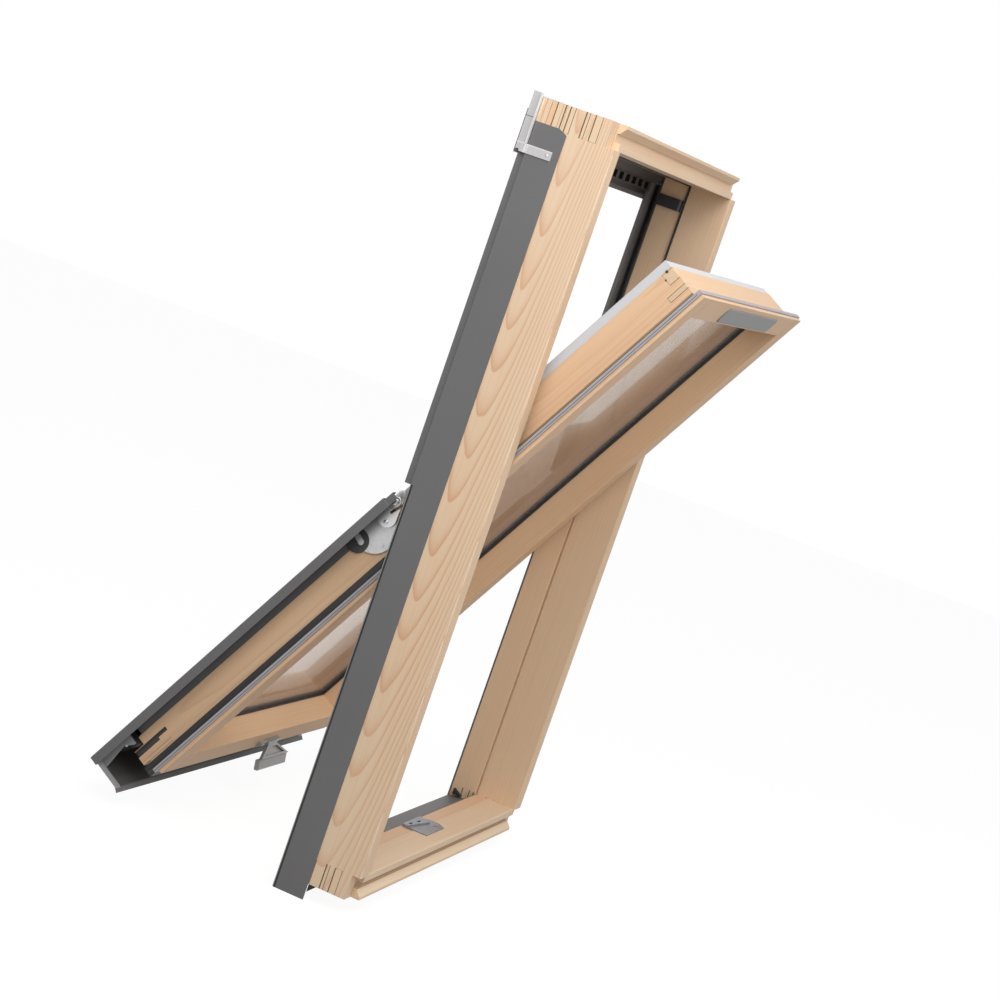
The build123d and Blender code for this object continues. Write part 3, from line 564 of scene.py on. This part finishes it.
class Workpiece:
    """A mesh that is shaped with bmesh operators and then becomes a piece of the window."""

    def __init__(self, name: str, slot: str) -> None:
        """Start an empty mesh.

        Args:
            name: the finished piece's name.
            slot: the record's material slot that it belongs to; it is not used.
        """
        self.name = name
        self.slot = slot
        self.mesh = bmesh.new()

    def turn(self, outline: list[tuple[float, float]], place: Matrix, steps: int = 28) -> None:
        """Turn an outline round its axis and put the turned shape in place.

        Args:
            outline: (radius, height) points from the axis at the top to the axis at the bottom.
            place: where the axis goes, as a matrix.
            steps: facets round the axis.
        """
        lathe = bmesh.new()
        points = [lathe.verts.new((radius, 0.0, height)) for radius, height in outline]
        edges = [lathe.edges.new(pair) for pair in zip(points, points[1:])]
        bmesh.ops.spin(lathe, geom=points + edges, cent=(0, 0, 0), axis=(0, 0, 1), angle=2 * pi,
                       steps=steps, use_merge=True)
        bmesh.ops.remove_doubles(lathe, verts=lathe.verts, dist=WELD)
        bmesh.ops.recalc_face_normals(lathe, faces=lathe.faces)
        self.take(lathe, place)

    def block(self, size: Vector, place: Matrix, bevel: float = 0.0, segments: int = 2) -> None:
        """Add a block with eased edges, centred on its place.

        Args:
            size: its three sizes.
            place: where its centre goes, as a matrix.
            bevel: width of the eased edges.
            segments: facets across an eased edge.
        """
        block = bmesh.new()
        bmesh.ops.create_cube(block, size=1.0)
        bmesh.ops.scale(block, vec=size, verts=block.verts)
        if bevel:
            bmesh.ops.bevel(block, geom=block.edges[:], offset=bevel, segments=segments, profile=0.5,
                            affect="EDGES", material=-1)
        self.take(block, place)

    def take(self, other: bmesh.types.BMesh, place: Matrix) -> None:
        """Move another mesh into place and join it to this one."""
        bmesh.ops.transform(other, matrix=place, verts=other.verts)
        carrier = bpy.data.meshes.new("carrier")
        other.to_mesh(carrier)
        other.free()
        self.mesh.from_mesh(carrier)
        bpy.data.meshes.remove(carrier)

    def finish(self, material: bpy.types.Material) -> bpy.types.Object:
        """Close the work and return it as a dressed piece that rides on the window."""
        mesh = bpy.data.meshes.new(self.name)
        self.mesh.to_mesh(mesh)
        self.mesh.free()
        mesh.shade_smooth()
        mesh.set_sharp_from_angle(angle=SHARP)
        mesh.materials.append(material)
        piece = bpy.data.objects.new(self.name, mesh)
        bpy.context.scene.collection.objects.link(piece)
        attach(piece, "root")
        LOG.info("%s has %d faces", self.name, len(mesh.polygons))
        return piece


def dress(node: str, material: bpy.types.Material) -> None:
    """Give a CAD node its finish."""
    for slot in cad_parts[node].material_slots:
        slot.material = material
    LOG.info("%s is dressed", node)


def both(plain: str) -> tuple[str, str]:
    """Give the left hand and the right hand node of a pair."""
    return f"left_{plain}", f"right_{plain}"


def eased(node: str, slot: str, material: bpy.types.Material, width: float) -> None:
    """Replace a node by a copy whose sharp edges are rounded over, as sanded timber is.

    Args:
        node: the CAD node to copy.
        slot: the record's material slot of the node.
        material: the copy's finish.
        width: how far in from each edge the rounding starts.
    """
    work = Workpiece(f"{node}_eased", slot)
    work.mesh.from_mesh(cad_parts[node].data)
    bmesh.ops.remove_doubles(work.mesh, verts=work.mesh.verts, dist=WELD)
    bmesh.ops.dissolve_limit(work.mesh, angle_limit=FLAT, verts=work.mesh.verts, edges=work.mesh.edges)
    edges = [edge for edge in work.mesh.edges if edge.is_manifold and edge.calc_face_angle() > SHARP]
    bmesh.ops.bevel(work.mesh, geom=edges, offset=width, segments=2, profile=0.5, affect="EDGES",
                    material=-1, clamp_overlap=True)
    piece = work.finish(material)
    weighted = piece.modifiers.new("weighted", "WEIGHTED_NORMAL")
    weighted.keep_sharp = True
    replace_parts(piece, node)


def pan_head(radius: float, height: float, socket: float) -> list[tuple[float, float]]:
    """Outline of a screw's or rivet's head.

    Args:
        radius: of the head.
        height: of the head.
        socket: radius of the round recess in its top, or 0.

    Returns:
        (radius, height) points from the axis at the top to the axis at the bottom.
    """
    arc = [(radius * sin(radians(angle)), height * cos(radians(angle))) for angle in (25, 45, 62, 78, 90)]
    floor = height * 0.35
    top = [(0.0, floor), (socket * 0.85, floor), (socket, height * 0.93)] if socket else [(0.0, height)]
    return [*top, *arc, (0.0, 0.0)]


class Facing(Enum):
    """Which way a fitting's head looks."""

    OUT = "to the side of the window"
    ROOM = "into the room"


@dataclass(frozen=True)
class Head:
    """A screw's or rivet's head and where it sits, with the sash shut where it is on the sash."""

    name: str
    radius: float
    height: float
    socket: float
    place: tuple[float, float, float]
    facing: Facing
    on_sash: bool = False

    def build(self, slot: str, material: bpy.types.Material) -> None:
        """Turn the head, one on each side of the window where it looks out."""
        looks_out = self.facing is Facing.OUT
        across, depth, height = self.place
        outline = pan_head(self.radius * MM, self.height * MM, self.socket * MM)
        for side, hand in HANDS if looks_out else ((1, "middle"),):
            quarter = Matrix.Rotation(side * pi / 2, 4, "Y" if looks_out else "X")
            place = at(side * across, depth, height) @ quarter
            work = Workpiece(f"{hand}_{self.name}", slot)
            work.turn(outline, SWING @ place if self.on_sash else place)
            work.finish(material)


@dataclass
class FrameTimber:
    """The four members of the fixed frame and the pale ends of the head behind the brackets."""

    edge: float = 0.7 * MM
    end_size: tuple[float, float, float] = (1.2, 4.0, 34.0)
    end_place: tuple[float, float, float] = (389.8, 122.0, 1160.7)

    def sill_bands(self) -> tuple[Band, ...]:
        """Give the sill its orange step, a dark line of painted shade along the step, painted shade in its
        groove, a painted highlight along its lip and painted light on its bead.
        """
        return (
            Band(colour=(0.72, 0.42, 0.24), depth=(52.2, 74.0), height=(30.0, 39.0), share=0.5),
            # Painted shade: a dark line along the step down in the sill's top
            Band(colour=GLUE_AND_SHADE, across=(0.0, 358.0), depth=(51.4, 52.0), height=(36.0, 39.0), share=0.8),
            # Painted shade in the groove between the lip and the bead
            Band(colour=(0.34, 0.20, 0.11), depth=(3.2, 13.0), height=(14.6, 26.0), share=0.8, soft=0.6),
            # Painted highlight along the lip's top edge
            Band(colour=(0.90, 0.74, 0.55), depth=(2.5, 4.2), height=(36.8, 38.5), share=0.6),
            # Painted light on the bead's inclined face
            Band(colour=(0.85, 0.68, 0.48), depth=(-1.0, 8.6), height=(4.0, 14.2), share=0.4),
        )

    def finishes(self) -> dict[str, Pine]:
        """Give each member the log that it is sawn from."""
        # Painted shade: a dark line along the edge of the jamb's notch beside the head's moulding
        notch_shade_line = Band(colour=GLUE_AND_SHADE, across=JAMB_SIDE, depth=(14.35, 14.9), height=HEAD_END, share=0.6)
        return {
            "left_jamb": Pine(
                name="pine_left_jamb", grain=Grain.UP, heart=(-0.300, 0.003), drift=(-0.050, -0.003),
                ring=3.5 * MM, figure=1.05, late=(0.62, 0.33, 0.19), bands=(*FRAME_BANDS, notch_shade_line),
            ),
            "right_jamb": Pine(
                name="pine_right_jamb", grain=Grain.UP, heart=(0.470, -0.150), drift=(0.02, 0.0),
                # Painted shade: its early wood is a little darker, to darken its shaded inner face
                figure=0.4, early=(0.765, 0.565, 0.380), bands=FRAME_BANDS,
            ),
            "sill": Pine(
                name="pine_sill", grain=Grain.ACROSS, heart=(-0.060, -0.160), drift=(0.0, 0.01),
                figure=0.4, bands=(*self.sill_bands(), *FRAME_BANDS),
            ),
            "head": Pine(
                name="pine_head", grain=Grain.ACROSS, heart=(1.260, -0.130), drift=(0.01, 0.0),
                figure=0.45, bands=FRAME_BANDS,
            ),
        }

    def build(self) -> None:
        """Round the members' edges, dress them and add the ends of the head."""
        for node, finish in self.finishes().items():
            eased(node, "pine", finish.material(), self.edge)
        pale = Pine(name="pine_head_ends", grain=Grain.ACROSS, heart=(1.260, -0.130), figure=0.3).material()
        across, depth, height = self.end_place
        for side, hand in HANDS:
            work = Workpiece(f"{hand}_head_end", "pine")
            work.block(Vector(self.end_size) * MM, at(side * across, depth, height), bevel=0.2 * MM)
            work.finish(pale)


@dataclass
class SashTimber:
    """The four members of the sash, the plugs on their joints, the seals on the stiles, and black blocks that
    paint the shade in the stiles' bolt recesses.

    Sizes and places are in millimetres. A strip's place is the depth and height of its middle.
    """

    edge: float = 0.7 * MM
    early: Colour = (0.765, 0.530, 0.332)
    warm: Colour = (0.745, 0.475, 0.275)
    end_grain: Colour = (0.68, 0.52, 0.34)
    side_face: float = 337.0
    seal: tuple[float, float, float] = (6.4, 9.5, 553.0)
    seal_place: tuple[float, float] = (70.4, 303.5)
    # Black blocks that paint the shade in the bolt recesses: their sizes, places and stand
    recess_shade_block: tuple[float, float, float] = (8.6, 9.4, 45.0)
    recess_shade_place: tuple[float, float] = (98.0, 50.2)
    neck_shade_block: tuple[float, float, float] = (8.6, 5.4, 19.4)
    neck_shade_place: tuple[float, float] = (100.0, 82.0)
    recess_shade_stand: float = -1.2
    seal_stand: float = 6.3
    plugs: tuple[tuple[str, float, float, float], ...] = (
        ("large_plug", 2.3, 116.0, 1110.8),
        ("small_plug", 1.5, 107.8, 1102.0),
    )
    plug_height: float = 0.35

    def pine(self, name: str, **settings: object) -> Pine:
        """Make one of the sash's finishes."""
        return Pine(name=name, on_sash=True, early=self.early, warm=self.warm, end_grain=self.end_grain,
                    bands=STILE_BANDS, **settings)

    def finishes(self) -> dict[str, Pine]:
        """Give each member the log that it is sawn from."""
        return {
            "left_stile": self.pine(
                "pine_left_stile", grain=Grain.UP, heart=(-0.292, 0.040), drift=(-0.020, 0.01),
                ring=6.5 * MM, waves=16 * MM, figure=0.85,
            ),
            "right_stile": self.pine("pine_right_stile", grain=Grain.UP, heart=(0.420, -0.090), figure=0.4),
            "top_rail": self.pine("pine_top_rail", grain=Grain.ACROSS, heart=(1.190, -0.070), figure=0.35),
            "bottom_rail": self.pine(
                "pine_bottom_rail", grain=Grain.ACROSS, heart=(-0.020, -0.080), figure=0.45,
            ),
        }

    def strip(self, name: str, slot: str, size: tuple[float, float, float], place: tuple[float, float],
              stand: float, material: bpy.types.Material) -> None:
        """Lay a block along the outer side of each stile.

        Args:
            name: the piece's name without its hand.
            slot: its material slot.
            size: its three sizes in millimetres.
            place: depth and height of its middle.
            stand: how far its outer face stands out from the stile's side.
            material: its finish.
        """
        for side, hand in HANDS:
            work = Workpiece(f"{hand}_{name}", slot)
            middle = side * (self.side_face + stand - size[0] / 2)
            work.block(Vector(size) * MM, SWING @ at(middle, *place), bevel=0.4 * MM)
            work.finish(material)

    def build(self) -> None:
        """Round the members' edges, dress them and add the seal, the black blocks of painted shade in the
        bolt recesses, and the plugs.
        """
        for node, finish in self.finishes().items():
            eased(node, "pine", finish.material(), self.edge)
        rubber = Rubber(name="ridge_seal", colour=(0.014, 0.013, 0.013), roughness=0.55, on_sash=True)
        self.strip("ridge_seal", "seal", self.seal, self.seal_place, self.seal_stand, rubber.material())
        # The black blocks in the bolt recesses paint the recesses' shade; the plugs are black plastic in the
        # same finish
        moulded = Rubber(name="plug_black_and_recess_shade", colour=(0.016, 0.017, 0.019), roughness=0.42, on_sash=True)
        black = moulded.material()
        self.strip("bolt_recess_shade", "black_plastic", self.recess_shade_block, self.recess_shade_place, self.recess_shade_stand, black)
        self.strip("bolt_neck_shade", "black_plastic", self.neck_shade_block, self.neck_shade_place, self.recess_shade_stand, black)
        for name, radius, depth, height in self.plugs:
            place = (self.side_face, depth, height)
            plug = Head(name, radius, self.plug_height, 0.0, place, Facing.OUT, True)
            plug.build("black_plastic", black)


@dataclass
class Claddings:
    """Every coated metal skin on the frame and the sash."""

    dark: Colour = (0.138, 0.135, 0.136)
    pale: Colour = (0.60, 0.61, 0.635)
    vent: Colour = (0.030, 0.031, 0.034)
    bracket: Colour = (0.54, 0.53, 0.535)
    lit: Colour = (0.36, 0.36, 0.36)
    shade: Colour = (0.012, 0.012, 0.012)
    # Colour of the painted highlights on the brackets' folds
    gloss: Colour = (0.80, 0.79, 0.80)
    matt: float = 0.48

    def jamb_coat(self) -> Coating:
        """Give the jambs' skins a dark joint line with a bright cut edge outside it."""
        face = (390.95, 392.0)
        height = (-30.0, 600.0)
        joint = Band(colour=self.shade, across=face, depth=(119.3, 122.3), height=height)
        edge = Band(colour=(0.34, 0.34, 0.34), across=face, depth=(122.3, 125.0), height=height)
        return Coating(name="jamb_coat", colour=self.dark, roughness=self.matt, bands=(joint, edge))

    def foot_coat(self) -> Coating:
        """Give the foot cover painted shade within it, lightened by painted light towards its opening, and
        bright inner corners.
        """
        between = (0.0, 354.5)
        # Painted shade over the cover's inner faces, then painted light that eases it towards the opening
        inner_shade = Band(colour=(0.035, 0.035, 0.035), across=between, depth=(70.0, 131.4), height=(-16.7, 60.0),
                      share=0.8)
        mouth_light = Band(colour=(0.10, 0.10, 0.10), across=between, depth=(70.0, 92.0), height=(-16.9, 0.0),
                     share=0.8, soft=6.0)
        corner = Band(colour=self.lit, across=(354.5, 372.0), depth=(70.0, 131.4), height=(-16.7, 46.0),
                      share=0.9, soft=0.3)
        return Coating(name="foot_coat", colour=self.dark, roughness=self.matt, on_sash=True,
                       bands=(inner_shade, mouth_light, corner))

    def cover_coat(self) -> Coating:
        """Give the lower covers the fine seam where each toe starts."""
        seam = Band(colour=(0.30, 0.30, 0.30), height=(590.4, 591.4), share=0.6)
        return Coating(name="cover_coat", colour=self.dark, roughness=self.matt, on_sash=True, bands=(seam,))

    def bracket_coat(self) -> Coating:
        """Give the head brackets painted shade in the scored line, and painted highlights on the folds."""
        leaf = (391.0, 400.0)
        # Painted shade in the scored line
        score_shade = Band(colour=(0.16, 0.155, 0.16), across=(391.0, 394.0), height=(1146.4, 1147.6), share=0.8)
        # Painted highlights along the folds and the bend
        fold_highlight = Band(colour=self.gloss, across=leaf, depth=(123.5, 125.6), share=0.8)
        bend = Band(colour=self.gloss, across=leaf, height=(1107.6, 1109.8), share=0.6, soft=0.5)
        return Coating(name="bracket_coat", colour=self.bracket, roughness=0.42, bands=(score_shade, fold_highlight, bend))

    def build(self) -> None:
        """Dress the skins."""
        coat = Coating(name="grey_coat", colour=self.dark, roughness=self.matt).material()
        for node in (*both("upper_cover"), "sill_cladding", "hood", "sash_lower_cladding"):
            dress(node, coat)
        dress("vent_bar", Coating(name="vent_coat", colour=self.vent, roughness=0.45).material())
        dress("foot_cover", self.foot_coat().material())
        for plain, finish in (
            ("jamb_cladding", self.jamb_coat()),
            ("lower_cover", self.cover_coat()),
            ("head_bracket", self.bracket_coat()),
        ):
            material = finish.material()
            for node in both(plain):
                dress(node, material)
        satin = Coating(name="pale_coat", colour=self.pale, roughness=0.38, specular=0.5).material()
        for node in ("head_cladding", "sash_upper_cladding"):
            dress(node, satin)


@dataclass
class Seals:
    """Gaskets, foam, plastic caps and the vent grille."""

    sash_grey: Colour = (0.33, 0.32, 0.335)
    groove_shade: Colour = (0.11, 0.107, 0.11)

    def sash_gasket(self) -> Rubber:
        """Give the sash gasket painted shade in its groove, its lighter top, and its black foot."""
        # Painted shade along the gasket's groove
        groove = Band(colour=self.groove_shade, across=(340.0, 360.0), depth=(58.6, 59.8), height=(32.0, 1126.0),
                      share=0.9)
        top = Band(colour=(0.38, 0.35, 0.37), height=(1126.0, 1140.0))
        foot = Band(colour=(0.016, 0.016, 0.016), height=(20.0, 42.0), soft=0.6)
        return Rubber(name="grey_seal", colour=self.sash_grey, roughness=0.55, on_sash=True,
                      bands=(groove, top, foot))

    def build(self) -> None:
        """Dress the soft and moulded pieces."""
        black = Rubber(name="black_seal", colour=(0.012, 0.012, 0.012), roughness=0.6).material()
        for node in ("frame_gasket", "glazing_gasket"):
            dress(node, black)
        dress("sash_gasket", self.sash_gasket().material())
        foam = Rubber(name="foam", colour=(0.018, 0.018, 0.018), roughness=0.9, pores=350.0, depth=0.4 * MM)
        dress("corner_foams", foam.material())
        moulded = Rubber(name="moulded_black", colour=(0.007, 0.007, 0.0075), roughness=0.45).material()
        for node in ("corner_caps", "stop_tabs", "vent_grille"):
            dress(node, moulded)


@dataclass
class Glass:
    """The double glazed unit."""

    spacer: Colour = (0.36, 0.36, 0.38)

    def build(self) -> None:
        """Dress the panes and the spacer."""
        clear = Glazing().material()
        for node in ("inner_pane", "outer_pane"):
            dress(node, clear)
        dress("spacer_bar", Coating(name="spacer_grey", colour=self.spacer, metallic=0.4).material())


@dataclass
class Fittings:
    """Hinges, handle, striker, blank plate and the screws that hold them."""

    heads: tuple[Head, ...] = (
        Head("bracket_screw", 2.3, 0.9, 1.1, (393.2, 90.7, 1102.5), Facing.OUT),
        Head("hinge_eye", 5.2, 1.0, 2.2, (355.5, 149.2, 563.0), Facing.OUT),
        Head("hinge_washer", 8.0, 1.0, 0.0, (348.0, 149.2, 563.0), Facing.OUT),
        Head("hinge_rivet", 3.4, 0.9, 0.0, (349.2, 154.5, 529.5), Facing.OUT),
        Head("end_plate_screw", 2.4, 0.9, 1.1, (354.0, 116.7, 31.2), Facing.OUT, True),
        Head("handle_screw", 2.6, 0.8, 1.2, (7.0, 44.0, 61.0), Facing.ROOM, True),
        Head("handle_far_screw", 2.6, 0.8, 1.2, (63.0, 44.0, 61.0), Facing.ROOM, True),
    )
    # A thin dark disc on the stile under each hinge, which paints shade there
    shade_disc: Head = Head("hinge_shade_disc", 18.5, 0.3, 0.0, (339.5, 120.5, 510.5), Facing.OUT, True)
    bracket_end: float = 124.0
    handle: Colour = (0.33, 0.325, 0.32)
    plate: Colour = (0.25, 0.25, 0.25)

    def short_bracket(self, node: str, material: bpy.types.Material) -> None:
        """Replace a hinge bracket by a copy that ends behind the arm, so that the arm and its slot show."""
        work = Workpiece(f"{node}_short", "zinc")
        work.mesh.from_mesh(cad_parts[node].data)
        bmesh.ops.remove_doubles(work.mesh, verts=work.mesh.verts, dist=WELD)
        parts = [*work.mesh.verts, *work.mesh.edges, *work.mesh.faces]
        cut = at(0.0, self.bracket_end, 0.0).translation
        outward = Vector((0.0, 1.0, 0.0))
        bmesh.ops.bisect_plane(work.mesh, geom=parts, plane_co=cut, plane_no=outward, clear_outer=True)
        bmesh.ops.holes_fill(work.mesh, edges=work.mesh.edges)
        bmesh.ops.recalc_face_normals(work.mesh, faces=work.mesh.faces)
        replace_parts(work.finish(material), node)

    def build(self) -> None:
        """Dress the metal fittings and turn their heads."""
        zinc = Plating(name="zinc", colour=(0.56, 0.56, 0.56)).material()
        bright = Plating(name="bright_zinc", colour=(0.72, 0.72, 0.72)).material()
        dull = Plating(name="dull_zinc", colour=(0.40, 0.40, 0.41)).material()
        for side in ("left", "right"):
            dress(f"{side}_hinge_plate", zinc)
            dress(f"{side}_hinge_arm", bright)
            self.short_bracket(f"{side}_hinge_bracket", dull)
        # The disc's dark finish is painted shade
        dark = Rubber(name="hinge_shade_disc", colour=(0.035, 0.035, 0.037), roughness=0.5)
        self.shade_disc.build("zinc", dark.material())
        striker = Plating(name="striker_zinc", colour=(0.28, 0.285, 0.31), roughness=0.4)
        dress("striker_plate", striker.material())
        satin = Coating(name="handle_satin", colour=self.handle, roughness=0.35, metallic=0.3).material()
        for node in ("handle_base", "handle_lever"):
            dress(node, satin)
        dress("blank_plate", Coating(name="plate_grey", colour=self.plate, roughness=0.5).material())
        screw = Plating(name="screw_zinc", colour=(0.50, 0.50, 0.50), roughness=0.3).material()
        for head in self.heads:
            head.build("zinc", screw)


@dataclass(frozen=True)
class Lamp:
    """One square soft lamp, with its side in metres and its power in watts."""

    name: str
    place: tuple[float, float, float]
    aim: tuple[float, float, float]
    size: float
    power: float

    def hang(self) -> None:
        """Hang the lamp and point it."""
        data = bpy.data.lights.new(self.name, "AREA")
        data.energy = self.power
        data.size = self.size
        lamp = bpy.data.objects.new(self.name, data)
        lamp.location = self.place
        lamp.rotation_euler = (Vector(self.aim) - Vector(self.place)).to_track_quat("-Z", "Y").to_euler()
        bpy.context.scene.collection.objects.link(lamp)


@dataclass
class Studio:
    """Floor, lamps, world and camera."""

    lens: float = 92.6
    camera_place: Vector = Vector((-3.8524, -1.0776, 1.0706))
    azimuth: float = radians(-73.77)
    elevation: float = radians(7.04)
    roll: float = radians(19.22)
    floor_size: float = 14.0
    ambient: float = 0.43
    glow: float = 1.06
    matt_share: float = 0.12
    plain: Colour = (0.36, 0.35, 0.34)
    pale: Colour = (0.86, 0.86, 0.86)
    white: Colour = (1.0, 1.0, 1.0)
    lamps: tuple[Lamp, ...] = (
        Lamp("key", (-1.9, -0.3, 1.9), (-0.3, 0.0, 0.9), 1.3, 24.5),
        Lamp("top", (-0.4, -1.2, 2.9), (0.0, 0.0, 0.9), 1.5, 23.0),
        Lamp("fill", (-1.6, -3.0, 1.4), (0.0, 0.0, 0.6), 2.5, 28.0),
    )

    def camera(self) -> None:
        """Stand the camera where the photograph was taken from, with the same lens and roll."""
        back = Vector((sin(self.azimuth) * cos(self.elevation), -cos(self.azimuth) * cos(self.elevation),
                       sin(self.elevation)))
        level = Vector((cos(self.azimuth), sin(self.azimuth), 0.0))
        above = back.cross(level)
        right = level * cos(self.roll) + above * sin(self.roll)
        up = back.cross(right)
        data = bpy.data.cameras.new("camera")
        data.lens = self.lens
        data.clip_end = 100.0
        camera = bpy.data.objects.new("camera", data)
        turn = Matrix((right, up, back)).transposed().to_4x4()
        camera.matrix_world = Matrix.Translation(self.camera_place) @ turn
        bpy.context.scene.collection.objects.link(camera)
        bpy.context.scene.camera = camera

    @staticmethod
    def seen(tree: Tree) -> Value:
        """Return 1 where the camera, a gloss or glass looks at the surface."""
        path = tree.add("ShaderNodeLightPath")
        names = ("Is Camera Ray", "Is Glossy Ray", "Is Transmission Ray")
        camera, gloss, glass = (Value(tree, path.outputs[name]) for name in names)
        return tree.maths("MINIMUM", camera + gloss + glass, 1.0)

    def world(self) -> None:
        """Light the window evenly, and show plain white behind it."""
        world = bpy.data.worlds.new("studio")
        bpy.context.scene.world = world
        tree = Tree(world)
        seen = self.seen(tree)
        strength = self.ambient + seen * (1.0 - self.ambient)
        backdrop = tree.add("ShaderNodeBackground", {}, {"Color": self.white, "Strength": strength})
        tree.add("ShaderNodeOutputWorld", {}, {"Surface": backdrop.outputs[0]})

    def floor(self) -> None:
        """Lay a pale floor that keeps a faint shadow."""
        mesh = bmesh.new()
        bmesh.ops.create_grid(mesh, x_segments=1, y_segments=1, size=self.floor_size / 2)
        bmesh.ops.translate(mesh, vec=Vector((0.0, 0.0, CAD_BOX[0].z)), verts=mesh.verts)
        data = bpy.data.meshes.new("floor")
        mesh.to_mesh(data)
        mesh.free()
        material, tree = new_tree("floor_white")
        seen = self.seen(tree)
        pale = tree.mix(seen, self.plain, self.pale)
        matt = tree.add("ShaderNodeBsdfDiffuse", {}, {"Color": pale})
        glow = tree.add("ShaderNodeEmission", {}, {"Color": self.white, "Strength": self.glow})
        share = seen * (1.0 - self.matt_share)
        mixed = tree.add("ShaderNodeMixShader", {}, {0: share, 1: matt.outputs[0], 2: glow.outputs[0]})
        tree.add("ShaderNodeOutputMaterial", {}, {"Surface": mixed.outputs[0]})
        data.materials.append(material)
        floor = bpy.data.objects.new("floor", data)
        bpy.context.scene.collection.objects.link(floor)

    def build(self) -> None:
        """Set up the whole studio."""
        self.camera()
        self.world()
        self.floor()
        for lamp in self.lamps:
            lamp.hang()
        bpy.context.scene.view_settings.view_transform = "Standard"


def main() -> None:
    """Build every part of the picture in order."""
    logging.basicConfig(level=logging.INFO, format="%(message)s")
    for part in (Studio(), FrameTimber(), SashTimber(), Claddings(), Seals(), Glass(), Fittings()):
        LOG.info("%s", type(part).__name__)
        part.build()


if __name__ == "__main__":
    main()
